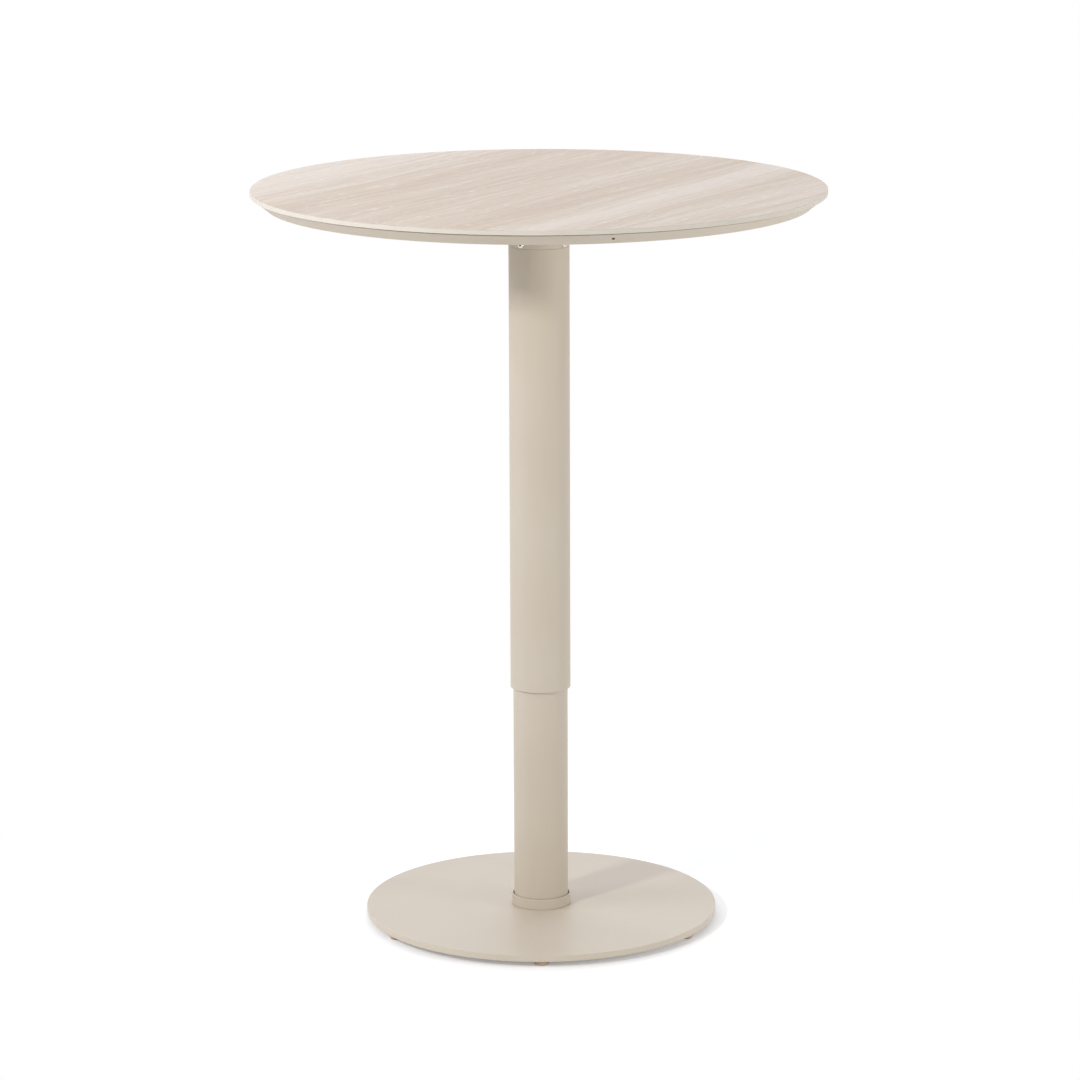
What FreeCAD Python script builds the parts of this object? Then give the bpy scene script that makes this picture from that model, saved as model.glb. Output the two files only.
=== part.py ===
"""Round pedestal table with a thin stone top that a locking gas spring lifts to bar height.

Every piece is an object of its own in one document, and its sizes are bound to the cells of one sheet, in
millimetres and degrees. The table stands on the XY plane with its column on the Z axis and its front
towards -Y, and it is drawn at bar height, the top of the lift's travel.
"""
import FreeCAD, Part
import math
import os

import Sketcher
from FreeCAD import Placement, Rotation, Vector

# Driving sizes, each of them a cell of the sheet.
SIZES = {
    # The table as a whole
    "bar_height": 1050.0,
    "lift_travel": 300.0,
    # Slab, and the bond line that holds it
    "slab_diameter": 800.0,
    "slab_thick": 6.3,
    "slab_arris": 0.8,
    "bond_thick": 1.2,
    "bond_setback": 6.0,
    "bond_width": 60.0,
    # Bevelled tray and the board that fills it
    "tray_setback": 4.0,
    "tray_depth": 14.5,
    "tray_bevel": 17.5,
    "tray_wall": 1.5,
    "drain_diameter": 5.0,
    "drain_count": 3,
    "drain_bearing": 14.5,
    "board_setback": 6.0,
    # Plate under the tray, with its bolts and inserts
    "mount_diameter": 200.0,
    "mount_thick": 5.0,
    "mount_round": 1.5,
    "mount_bolt_circle": 160.0,
    "mount_bolt_count": 4,
    "mount_bolt_diameter": 6.0,
    "mount_bolt_head": 11.0,
    "mount_bolt_head_tall": 3.5,
    "mount_bolt_socket": 4.0,
    "mount_bolt_bite": 8.0,
    "insert_diameter": 11.0,
    "insert_tall": 10.0,
    # Ring under the plate and its screws
    "ring_tall": 54.0,
    "ring_wall": 4.0,
    "head_screw_rise": 5.6,
    "head_screw_count": 4,
    "head_screw_bearing": -35.5,
    "head_screw_diameter": 5.0,
    "head_screw_head": 9.5,
    "head_screw_head_tall": 2.75,
    "head_screw_round": 1.9,
    "head_screw_socket": 3.0,
    "head_screw_socket_deep": 1.5,
    "head_screw_bite": 8.0,
    # Column head in the top of the sleeve
    "head_depth": 40.0,
    "head_spigot": 16.0,
    "head_web": 14.0,
    "head_bore": 60.0,
    # Column tubes
    "sleeve_diameter": 85.0,
    "sleeve_wall": 2.5,
    "sleeve_rest_gap": 5.0,
    "tube_diameter": 77.0,
    "tube_wall": 2.5,
    # Guides and stop
    "upper_bush_tall": 60.0,
    "upper_bush_cap": 3.0,
    "lower_bush_tall": 50.0,
    "lower_bush_recess": 5.0,
    "key_width": 8.0,
    "key_depth": 1.0,
    "key_count": 2,
    "bump_tall": 8.0,
    "bump_width": 3.0,
    # Base
    "plate_diameter": 500.0,
    "plate_thick": 9.0,
    "plate_round": 0.8,
    "plate_chamfer": 0.8,
    "collar_diameter": 84.0,
    "collar_wall": 2.0,
    "collar_tall": 15.0,
    "collar_round": 0.6,
    "foot_thick": 12.0,
    "stand_recess": 4.0,
    "base_bolt_circle": 50.0,
    "base_bolt_count": 4,
    "base_bolt_diameter": 8.0,
    "base_bolt_head": 16.0,
    "base_bolt_head_tall": 4.4,
    "base_bolt_socket": 5.0,
    "base_bolt_bite": 8.0,
    "glide_diameter": 22.0,
    "glide_tall": 8.0,
    "glide_round": 5.0,
    "glide_circle": 470.0,
    "glide_count": 6,
    "glide_seat": 4.0,
    "glide_screw_diameter": 4.0,
    "glide_screw_head": 7.0,
    "glide_screw_head_tall": 2.5,
    "glide_screw_socket": 2.5,
    "glide_screw_bite": 7.0,
    # Gas spring and its stand
    "stand_diameter": 35.0,
    "stand_wall": 3.0,
    "stand_plug": 16.0,
    "cylinder_diameter": 28.0,
    "cylinder_wall": 1.5,
    "cylinder_tall": 400.0,
    "cylinder_floor": 10.0,
    "cylinder_lip": 2.0,
    "cylinder_mouth": 16.0,
    "stud_diameter": 10.0,
    "stud_tall": 14.0,
    "guide_tall": 14.0,
    "centring_tall": 12.0,
    "centring_drop": 40.0,
    "rod_diameter": 10.0,
    "rod_proud": 4.0,
    "piston_tall": 20.0,
    "locknut_flats": 16.0,
    "locknut_tall": 6.0,
    "locknut_gap": 4.0,
    "pin_diameter": 4.0,
    "pin_tall": 64.0,
    "pin_proud": 6.0,
    "pin_stroke_room": 4.0,
    # Release lever
    "lever_arm": 22.0,
    "lever_reach": 248.0,
    "lever_width": 12.0,
    "lever_thick": 6.0,
    "lever_nose": 10.0,
    "lever_boss": 13.0,
    "lever_knee": 30.0,
    "lever_knee_run": 25.0,
    "lever_dip": 8.0,
    "lever_side_room": 1.5,
    "lever_room_below": 3.0,
    "lever_room_above": 6.0,
    "grip_length": 70.0,
    "grip_width": 26.0,
    "grip_thick": 13.0,
    "grip_wall": 2.0,
    "grip_round": 4.0,
    "pivot_diameter": 5.0,
    "pivot_head": 8.0,
    "pivot_head_tall": 1.5,
    "pivot_tail": 3.0,
    "clip_diameter": 9.0,
    "clip_bore": 4.0,
    "clip_thick": 0.8,
    "bracket_wall": 3.0,
    "bracket_back": 15.0,
    "bracket_edge": 6.0,
    "bracket_screw_circle": 16.0,
    "bracket_screw_count": 2,
    "bracket_screw_diameter": 4.0,
    "bracket_screw_head": 7.0,
    "bracket_screw_head_tall": 2.5,
    "bracket_screw_socket": 2.5,
    # Clearances, all of them on one side
    "press_gap": 0.05,
    "turning_gap": 0.05,
    "guide_gap": 0.1,
    "key_gap": 0.2,
    "seat_gap": 0.3,
    "stop_gap": 0.5,
    "hole_gap": 0.2,
}

# Levels above the floor, as expressions.
PLATE_BOTTOM = "sheet.glide_tall"
PLATE_TOP = f"({PLATE_BOTTOM} + sheet.plate_thick)"
COLLAR_TOP = f"({PLATE_TOP} + sheet.collar_tall)"
SLEEVE_BOTTOM = f"({COLLAR_TOP} + sheet.sleeve_rest_gap + sheet.lift_travel)"
SLAB_BOTTOM = "(sheet.bar_height - sheet.slab_thick)"
TRAY_TOP = f"({SLAB_BOTTOM} - sheet.bond_thick)"
TRAY_BOTTOM = f"({TRAY_TOP} - sheet.tray_depth)"
BOARD_BOTTOM = f"({TRAY_BOTTOM} + sheet.tray_wall)"
MOUNT_BOTTOM = f"({TRAY_BOTTOM} - sheet.mount_thick)"
RING_BOTTOM = f"({MOUNT_BOTTOM} - sheet.ring_tall)"
HEAD_BOTTOM = f"({RING_BOTTOM} - sheet.head_depth)"
HEAD_TOP = f"({RING_BOTTOM} + sheet.head_spigot)"
LOCKNUT_BOTTOM = f"({HEAD_TOP} - sheet.head_web - sheet.locknut_tall)"
BUMP_BOTTOM = f"({HEAD_BOTTOM} - sheet.lift_travel - sheet.stop_gap - sheet.bump_tall)"
TUBE_TOP = f"({BUMP_BOTTOM} - sheet.upper_bush_cap)"
FOOT_TOP = f"({PLATE_TOP} + sheet.foot_thick)"
STAND_BOTTOM = f"({FOOT_TOP} - sheet.stand_recess)"
CYLINDER_TOP = f"({LOCKNUT_BOTTOM} - sheet.lift_travel - sheet.locknut_gap)"
CYLINDER_BOTTOM = f"({CYLINDER_TOP} - sheet.cylinder_tall)"
GUIDE_BOTTOM = f"({CYLINDER_TOP} - sheet.cylinder_lip - sheet.guide_tall)"
PISTON_BOTTOM = f"({GUIDE_BOTTOM} - sheet.stop_gap - sheet.piston_tall)"
ROD_TOP = f"({HEAD_TOP} + sheet.rod_proud)"
PIN_TOP = f"({ROD_TOP} + sheet.pin_proud)"
PIVOT_LEVEL = f"({PIN_TOP} + sheet.seat_gap + sheet.lever_nose / 2)"

# Radii, as expressions.
TUBE_RADIUS = "(sheet.tube_diameter / 2)"
TUBE_BORE = f"({TUBE_RADIUS} - sheet.tube_wall)"
SLEEVE_RADIUS = "(sheet.sleeve_diameter / 2)"
SLEEVE_BORE = f"({SLEEVE_RADIUS} - sheet.sleeve_wall)"
RING_BORE = f"({SLEEVE_RADIUS} - sheet.ring_wall)"
CYLINDER_RADIUS = "(sheet.cylinder_diameter / 2)"
CYLINDER_BORE = f"({CYLINDER_RADIUS} - sheet.cylinder_wall)"
ROD_RADIUS = "(sheet.rod_diameter / 2)"
SLAB_RADIUS = "(sheet.slab_diameter / 2)"
TRAY_RIM = f"({SLAB_RADIUS} - sheet.tray_setback)"
TRAY_FLOOR = f"({TRAY_RIM} - sheet.tray_bevel)"

# Bearings in the XY plane, in degrees from +X, as expressions.
FRONT = "-90"
REAR = "90"
DRAIN_BEARING = f"{FRONT} + sheet.drain_bearing"
SCREW_BEARING = f"{FRONT} + sheet.head_screw_bearing"

# Ids that a sketch gives its origin and its two axes, and the points of its lines and circles.
ACROSS_AXIS = -1
UPRIGHT_AXIS = ACROSS_AXIS - 1
ORIGIN = ACROSS_AXIS
START, END, CENTRE = range(1, 4)

doc = FreeCAD.newDocument("pedestal_table")
sheet = doc.addObject("Spreadsheet::Sheet", "sheet")
pieces = []


def fill_sheet():
    """Writes the driving sizes to the sheet, one row each."""
    for row, (alias, number) in enumerate(SIZES.items(), start=1):
        sheet.set(f"A{row}", alias)
        sheet.set(f"B{row}", str(number))
        sheet.setAlias(f"B{row}", alias)
    doc.recompute()


def value(expression):
    """Gives the number that an expression over the sheet has now."""
    return float(sheet.evalExpression(expression))


def new_piece(label, level="0", bearing="0"):
    """Starts a piece whose own origin stands at a level on the column's axis and is turned to a bearing."""
    body = doc.addObject("PartDesign::Body", label)
    body.Label = label
    body.Placement = Placement(Vector(), Rotation(Vector(0, 0, 1), value(bearing)))
    body.setExpression("Placement.Base.z", level)
    if bearing != "0":
        body.setExpression("Placement.Rotation.Angle", f"({bearing}) * 1 deg")
    pieces.append(body)
    return body


def origin_feature(body, role):
    """Finds one of the planes or axes of a piece's own origin."""
    return next(item for item in body.Origin.OriginFeatures if item.Role == role)


def new_sketch(body, plane, offset="0", bearing="0"):
    """Starts a sketch on a plane of the piece's origin, moved along its normal or turned to a bearing."""
    sketch = body.newObject("Sketcher::SketchObject", body.Name + "_sketch")
    sketch.AttachmentSupport = [(origin_feature(body, plane), "")]
    sketch.MapMode = "FlatFace"
    if offset != "0":
        sketch.setExpression("AttachmentOffset.Base.z", offset)
    if bearing != "0":
        sketch.AttachmentOffset = Placement(Vector(), Rotation(Vector(0, 1, 0), value(bearing)))
        sketch.setExpression("AttachmentOffset.Rotation.Angle", f"({bearing}) * 1 deg")
    return sketch


def tie_point(sketch, element, end, across, up):
    """Ties a point of a sketch to the expressions of its two coordinates."""
    for kind, expression, axis in (("DistanceX", across, UPRIGHT_AXIS), ("DistanceY", up, ACROSS_AXIS)):
        if expression == "0":
            sketch.addConstraint(Sketcher.Constraint("PointOnObject", element, end, axis))
        else:
            rule = Sketcher.Constraint(kind, ORIGIN, START, element, end, value(expression))
            index = sketch.addConstraint(rule)
            sketch.setExpression(f"Constraints[{index}]", expression)


def add_outline(sketch, corners):
    """Adds a closed outline whose corners are pairs of expressions."""
    first = sketch.GeometryCount
    places = [Vector(value(across), value(up), 0) for across, up in corners]
    following = places[1:] + places[:1]
    for place, next_place in zip(places, following):
        sketch.addGeometry(Part.LineSegment(place, next_place))
    for index, (across, up) in enumerate(corners):
        next_line = first + (index + 1) % len(corners)
        sketch.addConstraint(Sketcher.Constraint("Coincident", first + index, END, next_line, START))
        tie_point(sketch, first + index, START, across, up)


def add_rectangle(sketch, left, right, low, high):
    """Adds a rectangle between two pairs of expressions."""
    add_outline(sketch, [(left, low), (right, low), (right, high), (left, high)])


def add_circle(sketch, across, up, radius):
    """Adds a circle with expressions for its centre and radius."""
    place = Vector(value(across), value(up), 0)
    circle = sketch.addGeometry(Part.Circle(place, Vector(0, 0, 1), value(radius)))
    tie_point(sketch, circle, CENTRE, across, up)
    index = sketch.addConstraint(Sketcher.Constraint("Radius", circle, value(radius)))
    sketch.setExpression(f"Constraints[{index}]", radius)


def add_hexagon(sketch, across, up, flats):
    """Adds a regular hexagon with an expression for its width across the flats."""
    corners = []
    for step in range(6):
        angle = math.radians(60 * step + 30)
        reach = 1 / math.sqrt(3)
        corners.append(
            (
                f"{across} + {flats} * {reach * math.cos(angle):.9f}",
                f"{up} + {flats} * {reach * math.sin(angle):.9f}",
            )
        )
    add_outline(sketch, corners)


def must_change(body, before, sign):
    """Stops the build if the piece's newest feature hasn't grown it (sign 1) or cut it (sign -1)."""
    doc.recompute()
    if sign * (body.Shape.Volume - before) <= 0:
        raise RuntimeError(f"{body.Label}: {body.Tip.Name} did not change the volume the right way")


def volume_so_far(body):
    """Gives the piece's volume before its next feature."""
    doc.recompute()
    return 0.0 if body.Tip is None else body.Shape.Volume


def turn(body, corners, upright=None, level=None, bearing="0", cut=False):
    """Turns an outline in the XZ plane about the Z axis, or about a line at a distance or at a level."""
    before = volume_so_far(body)
    sketch = new_sketch(body, "XZ_Plane", bearing=bearing)
    add_outline(sketch, corners)
    axis = "V_Axis"
    if level == "0":
        axis = "H_Axis"
    elif upright is not None or level is not None:
        axis = "Axis0"
        add_axis(sketch, upright, level)
    doc.recompute()
    feature = body.newObject("PartDesign::Groove" if cut else "PartDesign::Revolution", body.Name + "_turned")
    feature.Profile = sketch
    feature.ReferenceAxis = (sketch, [axis])
    feature.Angle = 360
    must_change(body, before, -1 if cut else 1)
    return feature


def add_axis(sketch, upright, level):
    """Adds the line that an outline turns about: upright at a distance, or level at a height."""
    if upright is not None:
        start = Vector(value(upright), 0, 0)
        line = sketch.addGeometry(Part.LineSegment(start, start + Vector(0, 1, 0)), True)
        tie_point(sketch, line, START, upright, "0")
        sketch.addConstraint(Sketcher.Constraint("Vertical", line))
    else:
        start = Vector(0, value(level), 0)
        line = sketch.addGeometry(Part.LineSegment(start, start + Vector(1, 0, 0)), True)
        tie_point(sketch, line, START, "0", level)
        sketch.addConstraint(Sketcher.Constraint("Horizontal", line))


def pad(body, sketch, length, both_ways=False, backwards=False):
    """Raises a sketch to a length, to both sides of its plane or against its normal if asked."""
    before = volume_so_far(body)
    feature = body.newObject("PartDesign::Pad", body.Name + "_pad")
    feature.Profile = sketch
    feature.setExpression("Length", length)
    feature.Reversed = backwards
    if both_ways:
        feature.SideType = "Symmetric"
    must_change(body, before, 1)
    return feature


def pocket(body, sketch, depth=None, along_normal=False):
    """Cuts a sketch to a depth against its plane's normal, or right through to both sides with no depth."""
    before = volume_so_far(body)
    feature = body.newObject("PartDesign::Pocket", body.Name + "_pocket")
    feature.Profile = sketch
    feature.Reversed = along_normal
    if depth is None:
        feature.Type = "ThroughAll"
        feature.SideType = "Symmetric"
    else:
        feature.setExpression("Length", depth)
    must_change(body, before, -1)
    return feature


def repeat(body, count, feature=None):
    """Repeats one feature, or the whole piece, evenly about the Z axis."""
    doc.recompute()
    pattern = body.newObject("PartDesign::PolarPattern", body.Name + "_repeat")
    if feature is None:
        pattern.TransformMode = "Whole shape"
    else:
        pattern.Originals = [feature]
    pattern.Axis = (origin_feature(body, "Z_Axis"), [""])
    pattern.Angle = 360
    pattern.setExpression("Occurrences", count)
    body.Tip = pattern
    doc.recompute()


def rim_edges(body, radius, level):
    """Names the round edges of a piece that have a radius and lie at a level of its own frame."""
    doc.recompute()
    names = []
    for index, edge in enumerate(body.Tip.Shape.Edges, start=1):
        curve = edge.Curve
        if not isinstance(curve, Part.Circle):
            continue
        if abs(curve.Radius - value(radius)) < 1e-6 and abs(curve.Center.z - value(level)) < 1e-6:
            names.append(f"Edge{index}")
    if not names:
        raise RuntimeError(f"{body.Label} has no round edge of that radius at that level")
    return names


def soften(body, edges, size, kind="Fillet"):
    """Rounds or chamfers the named edges of a piece."""
    before = volume_so_far(body)
    base = body.Tip
    feature = body.newObject("PartDesign::" + kind, body.Name + "_" + kind.lower())
    feature.Base = (base, edges)
    feature.setExpression("Radius" if kind == "Fillet" else "Size", size)
    must_change(body, before, -1)
    return feature


def tube_piece(label, level, outer, inner, tall):
    """Makes a plain round tube or ring."""
    body = new_piece(label, level)
    turn(body, [(inner, "0"), (outer, "0"), (outer, tall), (inner, tall)])
    return body


def drill_ring(body, circle, count, radius, bearing="0"):
    """Drills a ring of holes right through a piece, the first of them at a bearing in the piece's frame."""
    across, up = f"{circle} / 2", "0"
    if bearing != "0":
        across = f"{circle} / 2 * cos(({bearing}) * 1 deg)"
        up = f"{circle} / 2 * sin(({bearing}) * 1 deg)"
    sketch = new_sketch(body, "XY_Plane")
    add_circle(sketch, across, up, radius)
    repeat(body, count, pocket(body, sketch))


def screw_ring(label, level, bearing, ring, screw, length, countersunk=False):
    """Makes a ring of upright screws, heads down, from the sizes named after the ring and the screw."""
    circle = f"sheet.{ring}_circle / 2"
    head = f"{circle} + sheet.{screw}_head / 2"
    shank = f"{circle} + sheet.{screw}_diameter / 2"
    head_tall = f"sheet.{screw}_head_tall"
    corners = [(circle, "0"), (head, "0")]
    if not countersunk:
        corners.append((head, head_tall))
    corners += [(shank, head_tall), (shank, length), (circle, length)]
    body = new_piece(label, level, bearing)
    turn(body, corners, upright=circle)
    socket = new_sketch(body, "XY_Plane")
    add_hexagon(socket, circle, "0", f"sheet.{screw}_socket")
    pocket(body, socket, f"{head_tall} / 2", along_normal=True)
    repeat(body, f"sheet.{ring}_count")
    return body


def build_base():
    """Builds the floor plate, its glides and bolts, and the collar."""
    radius = "sheet.plate_diameter / 2"
    thick = "sheet.plate_thick"
    plate = new_piece("base_plate", PLATE_BOTTOM, FRONT)
    turn(plate, [("0", "0"), (radius, "0"), (radius, thick), ("0", thick)])
    soften(plate, rim_edges(plate, radius, thick), "sheet.plate_round")
    soften(plate, rim_edges(plate, radius, "0"), "sheet.plate_chamfer", "Chamfer")
    # Countersunk holes for the bolts that hold the column, and blind holes for the glides' screws
    bolt = "sheet.base_bolt_circle / 2"
    head = f"{bolt} + sheet.base_bolt_head / 2 + sheet.hole_gap"
    shank = f"{bolt} + sheet.base_bolt_diameter / 2 + sheet.hole_gap"
    sink = [(bolt, "0"), (head, "0"), (shank, "sheet.base_bolt_head_tall"), (shank, thick), (bolt, thick)]
    repeat(plate, "sheet.base_bolt_count", turn(plate, sink, upright=bolt, cut=True))
    holes = new_sketch(plate, "XY_Plane")
    add_circle(holes, "sheet.glide_circle / 2", "0", "sheet.glide_screw_diameter / 2 + sheet.press_gap")
    drilled = pocket(plate, holes, "sheet.glide_screw_bite + sheet.seat_gap", along_normal=True)
    repeat(plate, "sheet.glide_count", drilled)

    # Domed glides, each with a sunk seat for its screw
    middle = "sheet.glide_circle / 2"
    rim = f"{middle} + sheet.glide_diameter / 2"
    bore = f"{middle} + sheet.glide_screw_diameter / 2 + sheet.hole_gap"
    well = f"{middle} + sheet.glide_screw_head / 2 + sheet.hole_gap"
    glides = new_piece("foot_glides", "0", FRONT)
    turn(
        glides,
        [
            (well, "0"),
            (rim, "0"),
            (rim, "sheet.glide_tall"),
            (bore, "sheet.glide_tall"),
            (bore, "sheet.glide_seat"),
            (well, "sheet.glide_seat"),
        ],
        upright=middle,
    )
    soften(glides, rim_edges(glides, "sheet.glide_diameter / 2", "0"), "sheet.glide_round")
    repeat(glides, "sheet.glide_count")
    head_level = "sheet.glide_seat - sheet.glide_screw_head_tall"
    reach = "sheet.glide_tall + sheet.glide_screw_bite"
    screw_ring("glide_screws", head_level, FRONT, "glide", "glide_screw", f"{reach} - ({head_level})")

    # Plug in the foot of the column, and the bolts that pull it onto the plate
    recess = "sheet.stand_diameter / 2 + sheet.press_gap"
    recess_floor = "sheet.foot_thick - sheet.stand_recess"
    plug_rim = f"{TUBE_BORE} - sheet.press_gap"
    foot = new_piece("tube_foot", PLATE_TOP, FRONT)
    turn(
        foot,
        [
            ("0", "0"),
            (plug_rim, "0"),
            (plug_rim, "sheet.foot_thick"),
            (recess, "sheet.foot_thick"),
            (recess, recess_floor),
            ("0", recess_floor),
        ],
    )
    thread = "sheet.base_bolt_diameter / 2 + sheet.press_gap"
    drill_ring(foot, "sheet.base_bolt_circle", "sheet.base_bolt_count", thread)
    bolt_length = "sheet.plate_thick + sheet.base_bolt_bite"
    screw_ring("base_bolts", PLATE_BOTTOM, FRONT, "base_bolt", "base_bolt", bolt_length, countersunk=True)

    outer = "sheet.collar_diameter / 2"
    collar = tube_piece("base_collar", PLATE_TOP, outer, f"{outer} - sheet.collar_wall", "sheet.collar_tall")
    soften(collar, rim_edges(collar, outer, "sheet.collar_tall"), "sheet.collar_round")


def build_column():
    """Builds the two tubes, their guides and the stop."""
    tube_piece("lower_tube", PLATE_TOP, TUBE_RADIUS, TUBE_BORE, f"{TUBE_TOP} - {PLATE_TOP}")

    # The upper bush caps the lower tube, and its keys run in grooves along the sleeve's bore.
    skirt = "sheet.upper_bush_tall"
    top = f"{skirt} + sheet.upper_bush_cap"
    inner = f"{TUBE_RADIUS} + sheet.press_gap"
    outer = f"{SLEEVE_BORE} - sheet.guide_gap"
    bush = new_piece("upper_guide_bush", f"{TUBE_TOP} - {skirt}")
    cap = [(outer, top), (TUBE_BORE, top), (TUBE_BORE, skirt)]
    turn(bush, [(inner, "0"), (outer, "0"), *cap, (inner, skirt)])
    half_key = "(sheet.key_width / 2 - sheet.key_gap)"
    keys = new_sketch(bush, "XY_Plane")
    key_root = f"({inner} + {outer}) / 2"
    key_face = f"{SLEEVE_BORE} + sheet.key_depth - sheet.key_gap"
    add_rectangle(keys, key_root, key_face, f"-{half_key}", half_key)
    repeat(bush, "sheet.key_count", pad(bush, keys, skirt))

    bump_outer = f"{SLEEVE_BORE} - sheet.stop_gap"
    tube_piece("bump_stop", BUMP_BOTTOM, bump_outer, f"{bump_outer} - sheet.bump_width", "sheet.bump_tall")

    sleeve_tall = f"{RING_BOTTOM} - {SLEEVE_BOTTOM}"
    sleeve = tube_piece("sleeve_tube", SLEEVE_BOTTOM, SLEEVE_RADIUS, SLEEVE_BORE, sleeve_tall)
    groove = new_sketch(sleeve, "XY_Plane")
    groove_floor = f"{SLEEVE_BORE} + sheet.key_depth"
    half_groove = "sheet.key_width / 2"
    add_rectangle(groove, f"{SLEEVE_BORE} - sheet.sleeve_wall", groove_floor, f"-{half_groove}", half_groove)
    repeat(sleeve, "sheet.key_count", pocket(sleeve, groove))

    tube_piece(
        "lower_guide_bush",
        f"{SLEEVE_BOTTOM} + sheet.lower_bush_recess",
        f"{SLEEVE_BORE} - sheet.press_gap",
        f"{TUBE_RADIUS} + sheet.guide_gap",
        "sheet.lower_bush_tall",
    )

    # The head plugs the sleeve and stands proud of it, so that the ring under the top fits over it.
    body_rim = f"{SLEEVE_BORE} - sheet.press_gap"
    spigot_rim = f"{RING_BORE} - sheet.press_gap"
    bore = "sheet.head_bore / 2"
    depth = "sheet.head_depth"
    full = "(sheet.head_depth + sheet.head_spigot)"
    web_floor = f"{full} - sheet.head_web"
    rod_hole = f"{ROD_RADIUS} + sheet.press_gap"
    head = new_piece("column_head", HEAD_BOTTOM)
    turn(
        head,
        [
            (bore, "0"),
            (body_rim, "0"),
            (body_rim, depth),
            (spigot_rim, depth),
            (spigot_rim, full),
            (rod_hole, full),
            (rod_hole, web_floor),
            (bore, web_floor),
        ],
    )
    cut_screw_holes(head, f"{depth} + sheet.head_screw_rise", "sheet.press_gap")


def cut_screw_holes(body, level, gap):
    """Cuts the radial holes of the head's screws at a level of a piece's own frame."""
    edge = f"{level} + sheet.head_screw_diameter / 2 + {gap}"
    tip = f"{SLEEVE_RADIUS} - sheet.ring_wall - sheet.head_screw_bite - sheet.seat_gap"
    outside = f"{SLEEVE_RADIUS} + sheet.stop_gap"
    corners = [(tip, level), (outside, level), (outside, edge), (tip, edge)]
    first_hole = turn(body, corners, level=level, bearing=SCREW_BEARING, cut=True)
    repeat(body, "sheet.head_screw_count", first_hole)


def build_gas_spring():
    """Builds the stand, the gas spring and the nut that locks its rod."""
    stand_rim = "sheet.stand_diameter / 2"
    stand_bore = f"{stand_rim} - sheet.stand_wall"
    stud = "sheet.stud_diameter / 2"
    stud_hole = f"{stud} + sheet.press_gap"
    stand_tall = f"({CYLINDER_BOTTOM} - {STAND_BOTTOM})"
    plug_floor = f"{stand_tall} - sheet.stand_plug"
    stand = new_piece("spring_stand", STAND_BOTTOM)
    turn(
        stand,
        [
            (stand_bore, "0"),
            (stand_rim, "0"),
            (stand_rim, stand_tall),
            (stud_hole, stand_tall),
            (stud_hole, plug_floor),
            (stand_bore, plug_floor),
        ],
    )

    mouth = "sheet.cylinder_mouth / 2"
    tall = "sheet.cylinder_tall"
    lip_floor = f"{tall} - sheet.cylinder_lip"
    cylinder = new_piece("gas_cylinder", CYLINDER_BOTTOM)
    turn(
        cylinder,
        [
            ("0", "-sheet.stud_tall"),
            (stud, "-sheet.stud_tall"),
            (stud, "0"),
            (CYLINDER_RADIUS, "0"),
            (CYLINDER_RADIUS, tall),
            (mouth, tall),
            (mouth, lip_floor),
            (CYLINDER_BORE, lip_floor),
            (CYLINDER_BORE, "sheet.cylinder_floor"),
            ("0", "sheet.cylinder_floor"),
        ],
    )
    guide_rim = f"{CYLINDER_BORE} - sheet.press_gap"
    tube_piece("rod_guide", GUIDE_BOTTOM, guide_rim, f"{ROD_RADIUS} + sheet.turning_gap", "sheet.guide_tall")

    centring_level = f"{TUBE_TOP} - sheet.centring_drop"
    centring_rim = f"{TUBE_BORE} - sheet.press_gap"
    centring_bore = f"{CYLINDER_RADIUS} + sheet.press_gap"
    tube_piece("centring_ring", centring_level, centring_rim, centring_bore, "sheet.centring_tall")

    # The rod is bored at its top for the pin that opens the valve.
    rod_tall = f"({ROD_TOP} - {PISTON_BOTTOM})"
    pin_bore = "sheet.pin_diameter / 2 + sheet.turning_gap"
    bore_floor = f"{rod_tall} + sheet.pin_proud - sheet.pin_tall - sheet.pin_stroke_room"
    rod = new_piece("piston_rod", PISTON_BOTTOM)
    turn(
        rod,
        [
            ("0", "0"),
            (ROD_RADIUS, "0"),
            (ROD_RADIUS, rod_tall),
            (pin_bore, rod_tall),
            (pin_bore, bore_floor),
            ("0", bore_floor),
        ],
    )
    piston_rim = f"{CYLINDER_BORE} - sheet.guide_gap"
    piston_bore = f"{ROD_RADIUS} + sheet.press_gap"
    tube_piece("gas_piston", PISTON_BOTTOM, piston_rim, piston_bore, "sheet.piston_tall")

    nut = new_piece("rod_locknut", LOCKNUT_BOTTOM)
    nut_sketch = new_sketch(nut, "XY_Plane")
    add_hexagon(nut_sketch, "0", "0", "sheet.locknut_flats")
    add_circle(nut_sketch, "0", "0", f"{ROD_RADIUS} + sheet.press_gap")
    pad(nut, nut_sketch, "sheet.locknut_tall")

    pin = new_piece("release_pin", f"{PIN_TOP} - sheet.pin_tall")
    pin_radius = "sheet.pin_diameter / 2"
    turn(pin, [("0", "0"), (pin_radius, "0"), (pin_radius, "sheet.pin_tall"), ("0", "sheet.pin_tall")])


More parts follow.
